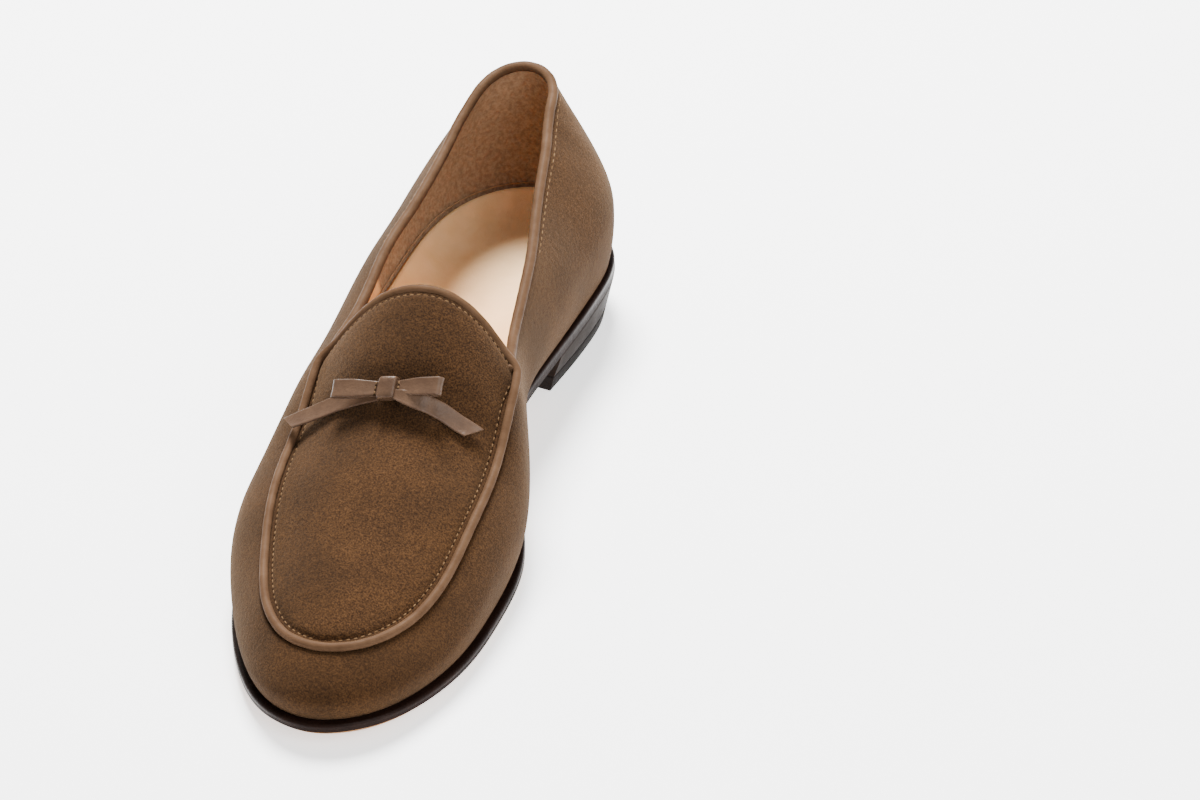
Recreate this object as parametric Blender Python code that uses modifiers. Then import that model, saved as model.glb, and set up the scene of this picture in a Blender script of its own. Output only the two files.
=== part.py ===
"""Right belgian loafer: suede upper with a piped apron and a ribbon bow on a leather sole.

Metres, +Z up, toe towards -Y, inner side of the foot towards +X. Every piece is read from one
last: ribs that run from a spine over the foot out and down to the feather line, where the upper
meets the sole. The tables hold shares of the named sizes, by station along the last.
"""

import math
from types import SimpleNamespace

import bmesh
import bpy
import numpy as np
from mathutils import Matrix, Vector

# Driving sizes of the last
LAST_LENGTH = 0.291
BALL_WIDTH = 0.092
COLLAR_HEIGHT = 0.067
TONGUE_DOME = 0.030
HEEL_RISE = 0.0195
TOE_SPRING = 0.005
BULGE = 0.009
BULGE_HEIGHT = 0.023
RIDGE_SHIFT = 0.0055
RIDGE_LEAN = 0.5
SIDE_SHARPNESS = 1.2

# Upper
UPPER_WALL = 0.0020
JUNCTION = 0.537
TONGUE_REACH = 0.0050
APRON_ROUNDNESS = 2.15
GROOVE_WIDTH = 0.0023
GROOVE_DEPTH = 0.0013
LIP_RISE = 0.0010

# Sole, heel and insole
SOLE_THICKNESS = 0.0048
SOLE_MARGIN = 0.0029
SOLE_BEAD = 0.0012
SOLE_BEVEL = 0.0018
HEEL_LENGTH = 0.083
HEEL_TAPER = 0.0052
BREAST_HOLLOW = 0.004
LIFT_THICKNESS = 0.0060
INSOLE_THICKNESS = 0.0022
INSOLE_CURL = 0.011

# Piping and bow
APRON_PIPING_RADIUS = 0.0016
TOPLINE_RADIUS = 0.0017
RIBBON_WIDTH = 0.0062
RIBBON_THICKNESS = 0.0012
LOOP_LENGTH = 0.0200
LOOP_HEIGHT = 0.0042
TAIL_CUT = 0.0045
TAIL_LIFT = 0.0040
KNOT_LENGTH = 0.0080
KNOT_WIDTH = 0.0070
KNOT_ROUNDING = 0.0018
BOW_STATION = 0.615
BOW_ACROSS = -0.10
BOW_SEAT = 0.0007

# Clearances: between pieces that touch, under the insole's edge, and where the pipings meet
GAP = 0.0003
INSOLE_CLEARANCE = 0.0009
PIPING_CLEARANCE = 0.0012

# How finely the last is read
RIBS_PER_SIDE = 42
CROWDING = 0.35
LOWER_ROWS = 3
UPPER_ROWS = 5
APRON_COLUMNS = 12
TONGUE_ROWS = 5
PLATE_COLUMNS = 6
INSOLE_RINGS = (1.0, 0.90, 0.74, 0.48)
HEEL_ROWS = 12
RAMP_RIBS = 1.5
TURN_COLUMNS = 3
LOOP_STEPS = 6
CURVE_SAMPLES = 40
ACROSS_STEP = 0.05
SHARP_EDGE = 35


class Table:
    """Columns of shares by station along the last, read as curves that never overshoot a row."""

    def __init__(self, names, *rows):
        self.columns = dict(zip(names.split(), np.array(rows).T))

    def read(self, name, station):
        x, y = self.columns["station"], self.columns[name]
        slope = np.diff(y) / np.diff(x)
        before, after = slope[:-1], slope[1:]
        level = before * after <= 0
        mean = 2 * before * after / np.where(level, 1, before + after)
        tangent = np.concatenate([slope[:1], np.where(level, 0, mean), slope[-1:]])
        k = np.clip(np.searchsorted(x, station, side="right") - 1, 0, len(x) - 2)
        step = x[k + 1] - x[k]
        w = np.clip((station - x[k]) / step, 0, 1)
        rise = w * w * (3 - 2 * w)
        start = w * (1 - w) ** 2 * step * tangent[k]
        end = w * w * (1 - w) * step * tangent[k + 1]
        return y[k] + (y[k + 1] - y[k]) * rise + start - end

    def blend(self, name, station, medial_share):
        """The named column of each side, mixed by how far a rib faces the inner side."""
        medial = self.read("medial_" + name, station)
        lateral = self.read("lateral_" + name, station)
        return lateral + (medial - lateral) * medial_share


# Half widths of the feather line, as shares of BALL_WIDTH
OUTLINE = Table(
    "station medial lateral",
    (0.02, 0.200, 0.165),
    (0.08, 0.365, 0.300),
    (0.19, 0.375, 0.370),
    (0.32, 0.300, 0.390),
    (0.44, 0.260, 0.400),
    (0.57, 0.400, 0.470),
    (0.67, 0.475, 0.520),
    (0.75, 0.470, 0.505),
    (0.85, 0.430, 0.415),
    (0.93, 0.330, 0.290),
    (0.985, 0.175, 0.130),
)
TOE_POINT = 0.014

# Top of the sole above its flat forefoot: shares of HEEL_RISE and TOE_SPRING
PROFILE = Table(
    "station heel toe",
    (0.00, 1.00, 0.00),
    (0.08, 1.00, 0.00),
    (0.15, 0.975, 0.00),
    (0.28, 0.83, 0.00),
    (0.40, 0.62, 0.00),
    (0.50, 0.44, 0.00),
    (0.60, 0.11, 0.00),
    (0.66, 0.00, 0.00),
    (0.72, 0.00, 0.00),
    (0.80, 0.00, 0.12),
    (0.88, 0.00, 0.32),
    (0.94, 0.00, 0.50),
    (1.00, 0.00, 0.78),
)

# How far the wall swells past the feather line, and where, then how far the sole stands out
# and how much of its lower corner is cut off: shares of BULGE, BULGE_HEIGHT, SOLE_MARGIN and
# SOLE_BEVEL. The power says how round the wall turns in above the bulge.
WALL = Table(
    "station medial_bulge lateral_bulge height power margin bevel",
    (0.00, 0.42, 0.42, 0.98, 2.00, 0.55, 0.15),
    (0.10, 0.30, 0.48, 0.92, 1.85, 0.60, 0.15),
    (0.20, 0.34, 0.52, 0.90, 1.80, 0.60, 0.15),
    (0.30, 0.65, 0.64, 0.94, 2.00, 0.40, 0.15),
    (0.42, 1.00, 0.73, 1.00, 2.20, 0.24, 0.50),
    (0.50, 0.90, 0.67, 0.94, 2.25, 0.40, 0.80),
    (0.60, 0.59, 0.53, 0.81, 2.25, 0.70, 1.00),
    (0.74, 0.33, 0.33, 0.62, 2.10, 0.96, 1.00),
    (0.90, 0.24, 0.16, 0.30, 1.80, 1.00, 1.00),
    (1.00, 0.20, 0.19, 0.28, 1.90, 1.00, 1.00),
)

# The line of the piping, collar behind the junction and plug ahead of it: how far out on its
# rib, and its height above the sole as a share of COLLAR_HEIGHT
EDGE = Table(
    "station medial_reach lateral_reach medial_height lateral_height",
    (0.00, 0.83, 0.83, 0.980, 0.980),
    (0.03, 0.62, 0.69, 0.955, 0.935),
    (0.06, 0.49, 0.61, 0.920, 0.880),
    (0.10, 0.455, 0.56, 0.875, 0.840),
    (0.15, 0.50, 0.53, 0.845, 0.805),
    (0.25, 0.645, 0.575, 0.760, 0.745),
    (0.35, 0.82, 0.68, 0.705, 0.700),
    (0.45, 0.895, 0.71, 0.650, 0.665),
    (0.53, 0.90, 0.74, 0.700, 0.670),
    (0.58, 0.85, 0.74, 0.665, 0.630),
    (0.62, 0.80, 0.73, 0.595, 0.570),
    (0.67, 0.775, 0.72, 0.540, 0.535),
    (0.72, 0.77, 0.71, 0.500, 0.515),
    (0.82, 0.755, 0.70, 0.380, 0.420),
    (0.90, 0.705, 0.705, 0.315, 0.360),
    (0.96, 0.66, 0.67, 0.305, 0.315),
    (1.00, 0.61, 0.61, 0.295, 0.295),
)

# The crown of the apron over the plug line, and how far its ridge lies towards the inner side:
# shares of TONGUE_DOME and RIDGE_SHIFT
CROWN = Table(
    "station dome shift",
    (0.30, 1.10, 0.00),
    (0.48, 1.05, 1.00),
    (0.52, 0.99, 1.00),
    (0.54, 0.89, 1.00),
    (0.59, 0.74, 1.00),
    (0.62, 0.54, 0.90),
    (0.65, 0.43, 0.82),
    (0.71, 0.36, 0.80),
    (0.80, 0.34, 0.60),
    (0.88, 0.34, 0.40),
    (0.92, 0.30, 0.30),
    (0.96, 0.20, 0.20),
)

# The spine that the ribs leave from
SPINE_HEEL = 0.125
SPINE_TOE = 0.875
SPINE_BLEND = 0.05

# Routes of the bow's tails: how far ahead of the knot, as a share of the knot's length, how far
# across the apron, and how far off it, as a share of TAIL_LIFT
MEDIAL_TAIL = (
    (0.12, 0.06, 0.0),
    (0.24, 0.24, 0.0),
    (0.43, 0.43, 0.0),
    (0.60, 0.61, 0.1),
    (0.71, 0.77, 0.3),
)
LATERAL_TAIL = (
    (0.06, -0.25, 0.0),
    (0.06, -0.43, 0.0),
    (0.10, -0.62, 0.1),
    (0.17, -0.82, 0.5),
    (0.24, -1.01, 1.1),
)

# Curl of the insole's edge, as a share of INSOLE_CURL
CURL = Table(
    "station edge",
    (0.00, 0.75),
    (0.20, 0.80),
    (0.42, 1.00),
    (0.60, 0.50),
    (0.80, 0.22),
    (1.00, 0.12),
)


def length(vectors):
    return np.linalg.norm(vectors, axis=-1)


def unit(vectors):
    return vectors / length(vectors)[..., None]


def soft_least(a, b, blend):
    return 0.5 * (a + b - np.sqrt((a - b) ** 2 + blend**2))


def soft_most(a, b, blend):
    return -soft_least(-a, -b, blend)


def closed_curve(points, stops, count):
    """A smooth closed curve through the points, cut into count lengths from stop to stop, the
    shorter ones near the stops."""
    points = np.asarray(points, float)
    chord = length(np.roll(points, -1, 0) - points)
    ahead, behind = 1 / chord, 1 / np.roll(chord, 1)
    after = (np.roll(points, -1, 0) - points) * ahead[:, None] ** 2
    before = (points - np.roll(points, 1, 0)) * behind[:, None] ** 2
    system = 2 * np.diag(ahead + behind)
    system += np.roll(np.diag(ahead), 1, axis=1) + np.roll(np.diag(behind), -1, axis=1)
    tangent = np.linalg.solve(system, 3 * (after + before))
    w = np.linspace(0, 1, CURVE_SAMPLES, endpoint=False)[:, None]
    fine = []
    for k in range(len(points)):
        following = (k + 1) % len(points)
        span = points[following] - points[k]
        start, end = tangent[k] * chord[k], tangent[following] * chord[k]
        bend = start * w * (1 - w) ** 2 - end * w * w * (1 - w)
        fine.append(points[k] + span * w * w * (3 - 2 * w) + bend)
    fine = np.concatenate(fine + [points[:1]])
    run = np.concatenate([[0], np.cumsum(length(np.diff(fine, axis=0)))])
    marks = [run[stop * len(w)] for stop in stops] + [run[-1]]
    share = np.linspace(0, 1, count, endpoint=False)
    share = share - CROWDING * np.sin(2 * np.pi * share) / (2 * np.pi)
    at = np.concatenate([a + (b - a) * share for a, b in zip(marks, marks[1:])])
    return np.stack([np.interp(at, run, axis) for axis in fine.T], axis=1)


def sole_top(station):
    heel = HEEL_RISE * PROFILE.read("heel", station)
    return SOLE_THICKNESS + heel + TOE_SPRING * PROFILE.read("toe", station)


def read_last():
    """The ribs in order round the shoe: heel, inner side, toe, outer side."""
    station, medial, lateral = (OUTLINE.columns[name] for name in ("station", "medial", "lateral"))
    shares = [(0, 0), *zip(medial, -station), (TOE_POINT, -1), *zip(-lateral[::-1], -station[::-1])]
    foot = closed_curve(
        np.array(shares) * (BALL_WIDTH, LAST_LENGTH), (0, len(station) + 1), RIBS_PER_SIDE
    )
    travel = unit(np.roll(foot, -1, 0) - np.roll(foot, 1, 0))
    last = SimpleNamespace(foot=foot, outward=np.stack([-travel[:, 1], travel[:, 0]], axis=1))
    last.station = -foot[:, 1] / LAST_LENGTH
    last.medial_share = 0.5 + 0.5 * np.clip(SIDE_SHARPNESS * last.outward[:, 0], -1, 1)
    ahead = soft_least(SPINE_TOE, last.station, SPINE_BLEND)
    ahead = soft_most(SPINE_HEEL, ahead, SPINE_BLEND)
    last.spine = np.stack([RIDGE_SHIFT * CROWN.read("shift", ahead), -ahead * LAST_LENGTH], axis=1)
    last.reach = length(foot - last.spine)
    last.ray = unit(foot - last.spine)
    last.bulge = BULGE * WALL.blend("bulge", last.station, last.medial_share)
    last.bulge_height = BULGE_HEIGHT * WALL.read("height", last.station)
    last.power = WALL.read("power", last.station)
    last.margin = SOLE_MARGIN * WALL.read("margin", last.station)
    last.bevel = SOLE_BEVEL * WALL.read("bevel", last.station)
    last.foot_z = sole_top(last.station) + GAP
    last.edge_share = EDGE.blend("reach", last.station, last.medial_share)
    height = COLLAR_HEIGHT * EDGE.blend("height", last.station, last.medial_share)
    last.edge_z = sole_top(last.station) + height
    last.edge = wall(last, 2.0)
    last.junction = int(np.argmin(np.abs(last.station[:RIBS_PER_SIDE] - JUNCTION)))
    last.ramp = ramp(last.junction)
    last.lip = last.edge + np.column_stack(
        [-GROOVE_WIDTH * last.ramp[:, None] * last.ray, LIP_RISE * last.ramp]
    )
    return last


def wall(last, level):
    """A point on each rib: level 0 at the feather line, 1 at the bulge, 2 at the piping."""
    low, high = np.minimum(level, 1.0), np.maximum(level - 1.0, 0.0)
    out = last.reach + last.bulge * (1 - (1 - low) ** 2)
    out = out * (1 - (1 - last.edge_share) * high**last.power)
    up = last.foot_z + last.bulge_height * low
    up = up + (last.edge_z - last.foot_z - last.bulge_height) * high
    return np.column_stack([last.spine + out[:, None] * last.ray, up])


def level_below_edge(last, distance):
    """The level that lies this far down the wall from the piping."""
    inward = (last.reach + last.bulge) * (1 - last.edge_share) * last.power
    rise = last.edge_z - last.foot_z - last.bulge_height
    return 2.0 - distance / np.hypot(inward, rise)


def ease(share):
    """0 to 1 with a level start and end."""
    share = np.clip(share, 0, 1)
    return share * share * (3 - 2 * share)


def ramp(junction):
    """Share of the full groove or trim: none at the junction, all of it a few ribs away."""
    ribs = np.arange(2 * RIBS_PER_SIDE)
    away = np.abs(np.minimum(ribs, 2 * RIBS_PER_SIDE - ribs) - junction)
    return ease(away / RAMP_RIBS)


def sides(ring):
    """The inner and the outer half of a ring, point for point from the heel to the toe."""
    return ring[: RIBS_PER_SIDE + 1], ring[-np.arange(RIBS_PER_SIDE + 1)]


def row_at(last, station):
    """The row of the apron whose middle lies at this station."""
    near, far = sides(last.lip)
    middle = -(near[:, 1] + far[:, 1]) / 2 / LAST_LENGTH
    return np.interp(station, middle, np.arange(RIBS_PER_SIDE + 1))


def apron(last, row, across, back=0.0):
    """A point of the apron. Across runs from -1 on the outer side to 1 on the inner side, and
    back from 0 to 1 carries the row at the junction on to the tongue's end."""
    row, across, back = np.broadcast_arrays(row, across, back)
    rows = np.arange(RIBS_PER_SIDE + 1)
    near, far = (
        np.stack([np.interp(row, rows, axis) for axis in side.T], axis=-1)
        for side in sides(last.lip)
    )
    centre, half = (near + far) / 2, (near - far) / 2
    point = centre + half * across[..., None]
    point[..., 1] += TONGUE_REACH * back * np.sqrt(np.maximum(1 - across**2, 0))
    station = -(point[..., 1] - half[..., 1] * across) / LAST_LENGTH
    crown = 1 - np.abs(across) ** APRON_ROUNDNESS
    opening = length(last.edge[last.junction] - last.edge[-last.junction]) / 2
    spread = np.minimum(length(half) / opening, 1)
    point[..., 2] += TONGUE_DOME * CROWN.read("dome", station) * spread * crown
    ridge = RIDGE_SHIFT * CROWN.read("shift", station) - centre[..., 0]
    point[..., 0] += ridge * crown * RIDGE_LEAN * spread
    return point


def material(name, colour, roughness):
    made = bpy.data.materials.new(name)
    made.use_nodes = True
    shader = made.node_tree.nodes["Principled BSDF"]
    shader.inputs["Base Color"].default_value = (*colour, 1)
    shader.inputs["Roughness"].default_value = roughness
    shader.inputs["Metallic"].default_value = 0.0
    return made


def add_grid(shape, points, round_trip=False):
    """Faces over an array of points, rows by columns. A round trip joins the last column on."""
    rows, columns = points.shape[:2]
    verts = [[shape.verts.new(point) for point in row] for row in points]
    for i in range(rows - 1):
        for j in range(columns if round_trip else columns - 1):
            k = (j + 1) % columns
            shape.faces.new((verts[i][j], verts[i][k], verts[i + 1][k], verts[i + 1][j]))


def sewn_mesh(name, grids, inside):
    """One mesh sewn from grids where their edges meet, facing away from the inside point."""
    shape = bmesh.new()
    for points, round_trip in grids:
        add_grid(shape, points, round_trip)
    bmesh.ops.remove_doubles(shape, verts=shape.verts, dist=1e-6)
    bmesh.ops.recalc_face_normals(shape, faces=shape.faces)
    inside = Vector(inside)
    facing = sum(face.normal.dot(face.calc_center_median() - inside) for face in shape.faces)
    if facing < 0:
        bmesh.ops.reverse_faces(shape, faces=shape.faces)
    mesh = bpy.data.meshes.new(name)
    shape.to_mesh(mesh)
    shape.free()
    return mesh


def add_piece(name, data, finish, shoe):
    piece = bpy.data.objects.new(name, data)
    data.materials.append(finish)
    if isinstance(data, bpy.types.Mesh):
        data.shade_smooth()
        data.set_sharp_from_angle(angle=math.radians(SHARP_EDGE))
    piece.parent = shoe.root
    shoe.collection.objects.link(piece)
    return piece


def thicken(piece, thickness, offset):
    shell = piece.modifiers.new("wall", "SOLIDIFY")
    shell.thickness = thickness
    shell.offset = offset
    shell.use_even_offset = True
    shell.use_quality_normals = True
    shell.thickness_clamp = 0


def ladder(ring, columns):
    """Rows across a plate, from the heel to the toe, between the two sides of its outline."""
    near, far = sides(ring)
    share = np.linspace(0, 1, columns + 1)[None, :, None]
    return far[:, None] + (near - far)[:, None] * share


def plate_ring(last, margin, lift):
    """The outline this far past the feather line and this far above the sole's top."""
    flat = last.foot + last.outward * np.reshape(margin, (-1, 1))
    return np.column_stack([flat, sole_top(-flat[:, 1] / LAST_LENGTH) + lift])


def on_sole(points, lift):
    """The same points set on the sole's top, this far above it."""
    return np.concatenate(
        [points[..., :2], sole_top(-points[..., 1:2] / LAST_LENGTH) + lift], axis=-1
    )


def fold_directions(last):
    """On each rib at the piping: the way up the wall, and the way out of the fold."""
    below = wall(last, level_below_edge(last, GROOVE_WIDTH))
    over = last.edge + np.column_stack([-GROOVE_WIDTH * last.ray, np.full(len(below), LIP_RISE)])
    travel = np.roll(last.edge, -1, 0) - np.roll(last.edge, 1, 0)
    return unit(last.edge - below), unit(np.cross(travel, below - over))


def tongue_frame(last, across):
    """Points on the tongue's end, with the ways out of its surface and off its end."""
    step = 1e-4
    at = apron(last, last.junction, across, 1.0)
    ahead = apron(last, last.junction + 1, across) - apron(last, last.junction, across)
    inner = apron(last, last.junction, across * (1 - step) + step, 1.0)
    outer = apron(last, last.junction, across * (1 - step) - step, 1.0)
    travel = unit(inner - outer)
    normal = unit(np.cross(ahead, travel))
    return at, normal, unit(np.cross(normal, travel))


def columns_across():
    """Shares across the apron, closer together near its sides."""
    return -np.cos(np.linspace(0, np.pi, APRON_COLUMNS + 1))


def build_upper(last, shoe):
    last_row = 2 * RIBS_PER_SIDE - last.junction
    ahead = np.arange(last.junction, last_row + 1)
    trim = np.full(2 * RIBS_PER_SIDE, TOPLINE_RADIUS + GAP)
    trim[ahead] = GROOVE_WIDTH
    top = level_below_edge(last, trim * last.ramp)
    levels = [share * np.ones_like(top) for share in np.linspace(0, 1, LOWER_ROWS + 1)]
    levels += [1 + (top - 1) * share for share in np.linspace(0, 1, UPPER_ROWS + 1)[1:]]
    side = np.stack([wall(last, level) for level in levels])
    _, out_of_fold = fold_directions(last)
    bottom = last.edge - GROOVE_DEPTH * last.ramp[:, None] * out_of_fold
    groove = np.stack([side[-1], bottom, last.lip])[:, ahead]
    across = columns_across()[None]
    rows = np.arange(last.junction, RIBS_PER_SIDE + 1)[:, None]
    back = np.linspace(1, 0, TONGUE_ROWS + 1)[:, None]
    crown = apron(last, rows, across)
    tongue = apron(last, last.junction, across, back)
    grids = [(side, True), (groove, False), (crown, False), (tongue, False)]
    middle = (0, -LAST_LENGTH / 2, SOLE_THICKNESS + BULGE_HEIGHT)
    mesh = sewn_mesh("upper", grids, middle)
    piece = add_piece("upper", mesh, material("brown suede", (0.13, 0.065, 0.032), 0.95), shoe)
    thicken(piece, UPPER_WALL, -1)


def ring_round(rows):
    """The points round a plate made of rows: down its inner side, across, and back up."""
    return np.concatenate([rows[:, -1], rows[-1, -2:0:-1], rows[:0:-1, 0]])


def build_outsole(last, shoe):
    top = plate_ring(last, last.margin - SOLE_BEAD / 2, 0)
    shoulder = plate_ring(last, last.margin, -SOLE_BEAD)
    corner = plate_ring(last, last.margin, last.bevel - SOLE_THICKNESS)
    under = plate_ring(last, last.margin - last.bevel, -SOLE_THICKNESS)
    grids = [
        (on_sole(ladder(top, PLATE_COLUMNS), 0), False),
        (np.stack([top, shoulder, corner, under]), True),
        (on_sole(ladder(under, PLATE_COLUMNS), -SOLE_THICKNESS), False),
    ]
    mesh = sewn_mesh("outsole", grids, (0, -LAST_LENGTH / 2, SOLE_THICKNESS / 2))
    add_piece("outsole", mesh, material("leather sole", (0.12, 0.07, 0.05), 0.4), shoe)


def heel_rows(last, height):
    """Rows across the heel at this height, from its back to its hollow breast."""
    margin = last.margin - HEEL_TAPER * (1 - height / HEEL_RISE)
    near, far = sides(plate_ring(last, margin, 0))
    back = near[0, 1]
    drop = 1 - np.cos(np.linspace(0, np.pi / 2, HEEL_ROWS + 1))
    along = (back - (back + HEEL_LENGTH) * drop)[:, None]
    share = np.linspace(0, 1, PLATE_COLUMNS + 1)[None]
    inner = np.interp(-along, -near[:, 1], near[:, 0])
    outer = np.interp(-along, -far[:, 1], far[:, 0])
    hollow = BREAST_HOLLOW * (1 - (2 * share - 1) ** 2) * drop[:, None] ** 2
    points = [outer + (inner - outer) * share, along + hollow, np.full_like(hollow, height)]
    return np.stack(points, axis=-1)


def build_heel(last, shoe):
    stack_top = on_sole(heel_rows(last, HEEL_RISE), -SOLE_THICKNESS - GAP)
    stack_foot = heel_rows(last, LIFT_THICKNESS + GAP)
    lift_top = heel_rows(last, LIFT_THICKNESS)
    lift_foot = heel_rows(last, 0.0)
    pairs = (
        ("heel_stack", stack_top, stack_foot, material("heel leather", (0.045, 0.033, 0.03), 0.3)),
        ("heel_top_lift", lift_top, lift_foot, material("top lift", (0.035, 0.03, 0.03), 0.5)),
    )
    for name, top, foot, finish in pairs:
        walls = np.stack([ring_round(top), ring_round(foot)])
        centre = (top.mean(axis=(0, 1)) + foot.mean(axis=(0, 1))) / 2
        mesh = sewn_mesh(name, [(top, False), (walls, True), (foot, False)], centre)
        add_piece(name, mesh, finish, shoe)


def inside_wall(last, level, depth):
    """Points this deep under the wall's outer face, level with or below the bulge."""
    slope = 2 * last.bulge * (1 - level) / last.bulge_height
    steep = 1 / np.hypot(1, slope)
    points = wall(last, level)
    points[:, :2] -= last.ray * (depth * steep)[:, None]
    points[:, 2] += depth * steep * slope
    return points


def build_insole(last, shoe):
    curl = INSOLE_CURL * CURL.read("edge", last.station)
    edge = inside_wall(last, curl / last.bulge_height, UPPER_WALL + INSOLE_CLEARANCE)
    rise = edge[:, 2] - on_sole(edge, GAP)[:, 2]
    rings = []
    for share in INSOLE_RINGS:
        flat = last.spine + share * (edge[:, :2] - last.spine)
        ring = on_sole(np.column_stack([flat, rise]), GAP)
        curled = (share - INSOLE_RINGS[-1]) / (1 - INSOLE_RINGS[-1])
        ring[:, 2] += rise * curled**3
        rings.append(ring)
    middle = on_sole(ladder(rings[-1], PLATE_COLUMNS), GAP)
    far_below = (0, -LAST_LENGTH / 2, -1)
    mesh = sewn_mesh("insole", [(np.stack(rings), True), (middle, False)], far_below)
    piece = add_piece("insole", mesh, material("sock leather", (0.42, 0.24, 0.12), 0.5), shoe)
    thicken(piece, INSOLE_THICKNESS, 1)


def tube(name, centres, radius, closed, finish, shoe):
    curve = bpy.data.curves.new(name, "CURVE")
    curve.dimensions = "3D"
    curve.bevel_depth = radius
    curve.bevel_resolution = 2
    curve.use_fill_caps = not closed
    spline = curve.splines.new("POLY")
    spline.points.add(len(centres) - 1)
    spline.use_cyclic_u = closed
    for point, centre in zip(spline.points, centres):
        point.co = (*centre, 1)
    add_piece(name, curve, finish, shoe)


def build_pipings(last, shoe):
    up_wall, out_of_fold = fold_directions(last)
    ahead = np.arange(last.junction, 2 * RIBS_PER_SIDE - last.junction + 1)
    clear = APRON_PIPING_RADIUS + GAP
    lean = math.cos(math.atan2(GROOVE_DEPTH, GROOVE_WIDTH))
    lift = clear / lean - GROOVE_DEPTH * last.ramp
    plug = (last.edge + out_of_fold * lift[:, None])[ahead]
    across = columns_across()[1:-1]
    end, normal, off = tongue_frame(last, across)
    column = np.arange(1, APRON_COLUMNS)
    turn = ease(np.minimum(column, APRON_COLUMNS - column) / TURN_COLUMNS)[:, None]
    away = clear * (turn + (1 - turn) / lean)
    tongue = end + unit(normal * (1 - turn) + off * turn) * away
    tongue = tongue - normal * UPPER_WALL / 2 * turn**2
    leather = material("piping leather", (0.27, 0.15, 0.09), 0.45)
    tube("apron_piping", np.concatenate([plug, tongue]), APRON_PIPING_RADIUS, True, leather, shoe)

    behind = np.arange(-last.junction, last.junction + 1)
    rim = wall(last, level_below_edge(last, (TOPLINE_RADIUS + GAP) * last.ramp))
    travel = np.roll(rim, -1, 0) - np.roll(rim, 1, 0)
    out_of_wall = unit(np.cross(up_wall, travel))
    seat = rim + up_wall * (TOPLINE_RADIUS + GAP) - out_of_wall * UPPER_WALL / 2
    path = seat[behind]
    stop = TOPLINE_RADIUS + APRON_PIPING_RADIUS + PIPING_CLEARANCE
    for tip, inner in ((0, 1), (-1, -2)):
        path[tip] += unit(path[inner] - path[tip]) * stop
    tube("topline_piping", path, TOPLINE_RADIUS, False, leather, shoe)


def apron_frame(last, station, across):
    """Points on the apron, and there the ways towards the toe, to the inner side and out."""
    row = row_at(last, station)
    low = np.floor(row)
    toe = unit(apron(last, low + 2, across) - apron(last, low - 1, across))
    side = apron(last, row, across + ACROSS_STEP) - apron(last, row, across - ACROSS_STEP)
    inner = unit(side)
    share = np.expand_dims(row - low, -1)
    point = apron(last, low, across) * (1 - share) + apron(last, low + 1, across) * share
    return point, toe, inner, unit(np.cross(toe, inner))


def ribbon(name, centres, toe, cut, finish, shoe):
    """A flat ribbon along its centres, its width towards the toe and its end cut on the slant."""
    along = unit(np.gradient(centres, axis=0))
    wide = unit(toe - along * np.sum(toe * along, axis=1, keepdims=True)) * RIBBON_WIDTH / 2
    edges = np.stack([centres - wide, centres + wide], axis=1)
    edges[-1, 0] += along[-1] * cut / 2
    edges[-1, 1] -= along[-1] * cut / 2
    mesh = sewn_mesh(name, [(edges, False)], centres.mean(axis=0) - (0, 0, 1))
    thicken(add_piece(name, mesh, finish, shoe), RIBBON_THICKNESS, 0)


def build_bow(last, shoe):
    leather = material("ribbon leather", (0.27, 0.15, 0.10), 0.5)
    centre, toe, inner, out = apron_frame(last, BOW_STATION, BOW_ACROSS)
    tail_rest = BOW_SEAT + RIBBON_THICKNESS / 2
    loop_rest = tail_rest + GAP + RIBBON_THICKNESS
    knot_height = loop_rest + LOOP_HEIGHT - RIBBON_THICKNESS / 2 - BOW_SEAT
    knot_centre = centre + out * (BOW_SEAT + knot_height / 2)

    bpy.ops.mesh.primitive_cube_add(size=1)
    knot = bpy.context.object
    knot.name = "bow_knot"
    knot.data.transform(Matrix.Diagonal((KNOT_WIDTH, KNOT_LENGTH, knot_height, 1)))
    knot.data.materials.append(leather)
    knot.data.shade_smooth()
    knot.matrix_world = Matrix(np.column_stack([inner, -toe, out]).tolist()).to_4x4()
    knot.location = knot_centre
    knot.parent = shoe.root
    rounding = knot.modifiers.new("rounding", "BEVEL")
    rounding.width = KNOT_ROUNDING
    rounding.segments = 3
    bpy.context.collection.objects.unlink(knot)
    shoe.collection.objects.link(knot)

    start = KNOT_WIDTH / 2 + GAP
    turn = (LOOP_HEIGHT - RIBBON_THICKNESS) / 2
    out_run = np.linspace(start, LOOP_LENGTH - turn - RIBBON_THICKNESS / 2, LOOP_STEPS)
    angle = np.linspace(-np.pi / 2, np.pi / 2, LOOP_STEPS)[1:-1]
    reach = np.concatenate([out_run, out_run[-1] + turn * np.cos(angle), out_run[::-1]])
    lift = np.repeat([0.0, 2 * turn], LOOP_STEPS)
    lift = np.insert(lift, LOOP_STEPS, turn + turn * np.sin(angle))
    for name, side in (("bow_loop_medial", 1), ("bow_loop_lateral", -1)):
        centres = centre + np.outer(side * reach, inner) + np.outer(loop_rest + lift, out)
        ribbon(name, centres, np.tile(toe, (len(centres), 1)), 0.0, leather, shoe)

    for name, route in (("bow_tail_medial", MEDIAL_TAIL), ("bow_tail_lateral", LATERAL_TAIL)):
        ahead, across, off = np.array(route).T
        station = BOW_STATION + ahead * KNOT_LENGTH / LAST_LENGTH
        points, toes, _, outs = apron_frame(last, station, across)
        points = points + outs * (tail_rest + off * TAIL_LIFT)[:, None]
        ribbon(name, points, toes, TAIL_CUT, leather, shoe)


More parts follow.
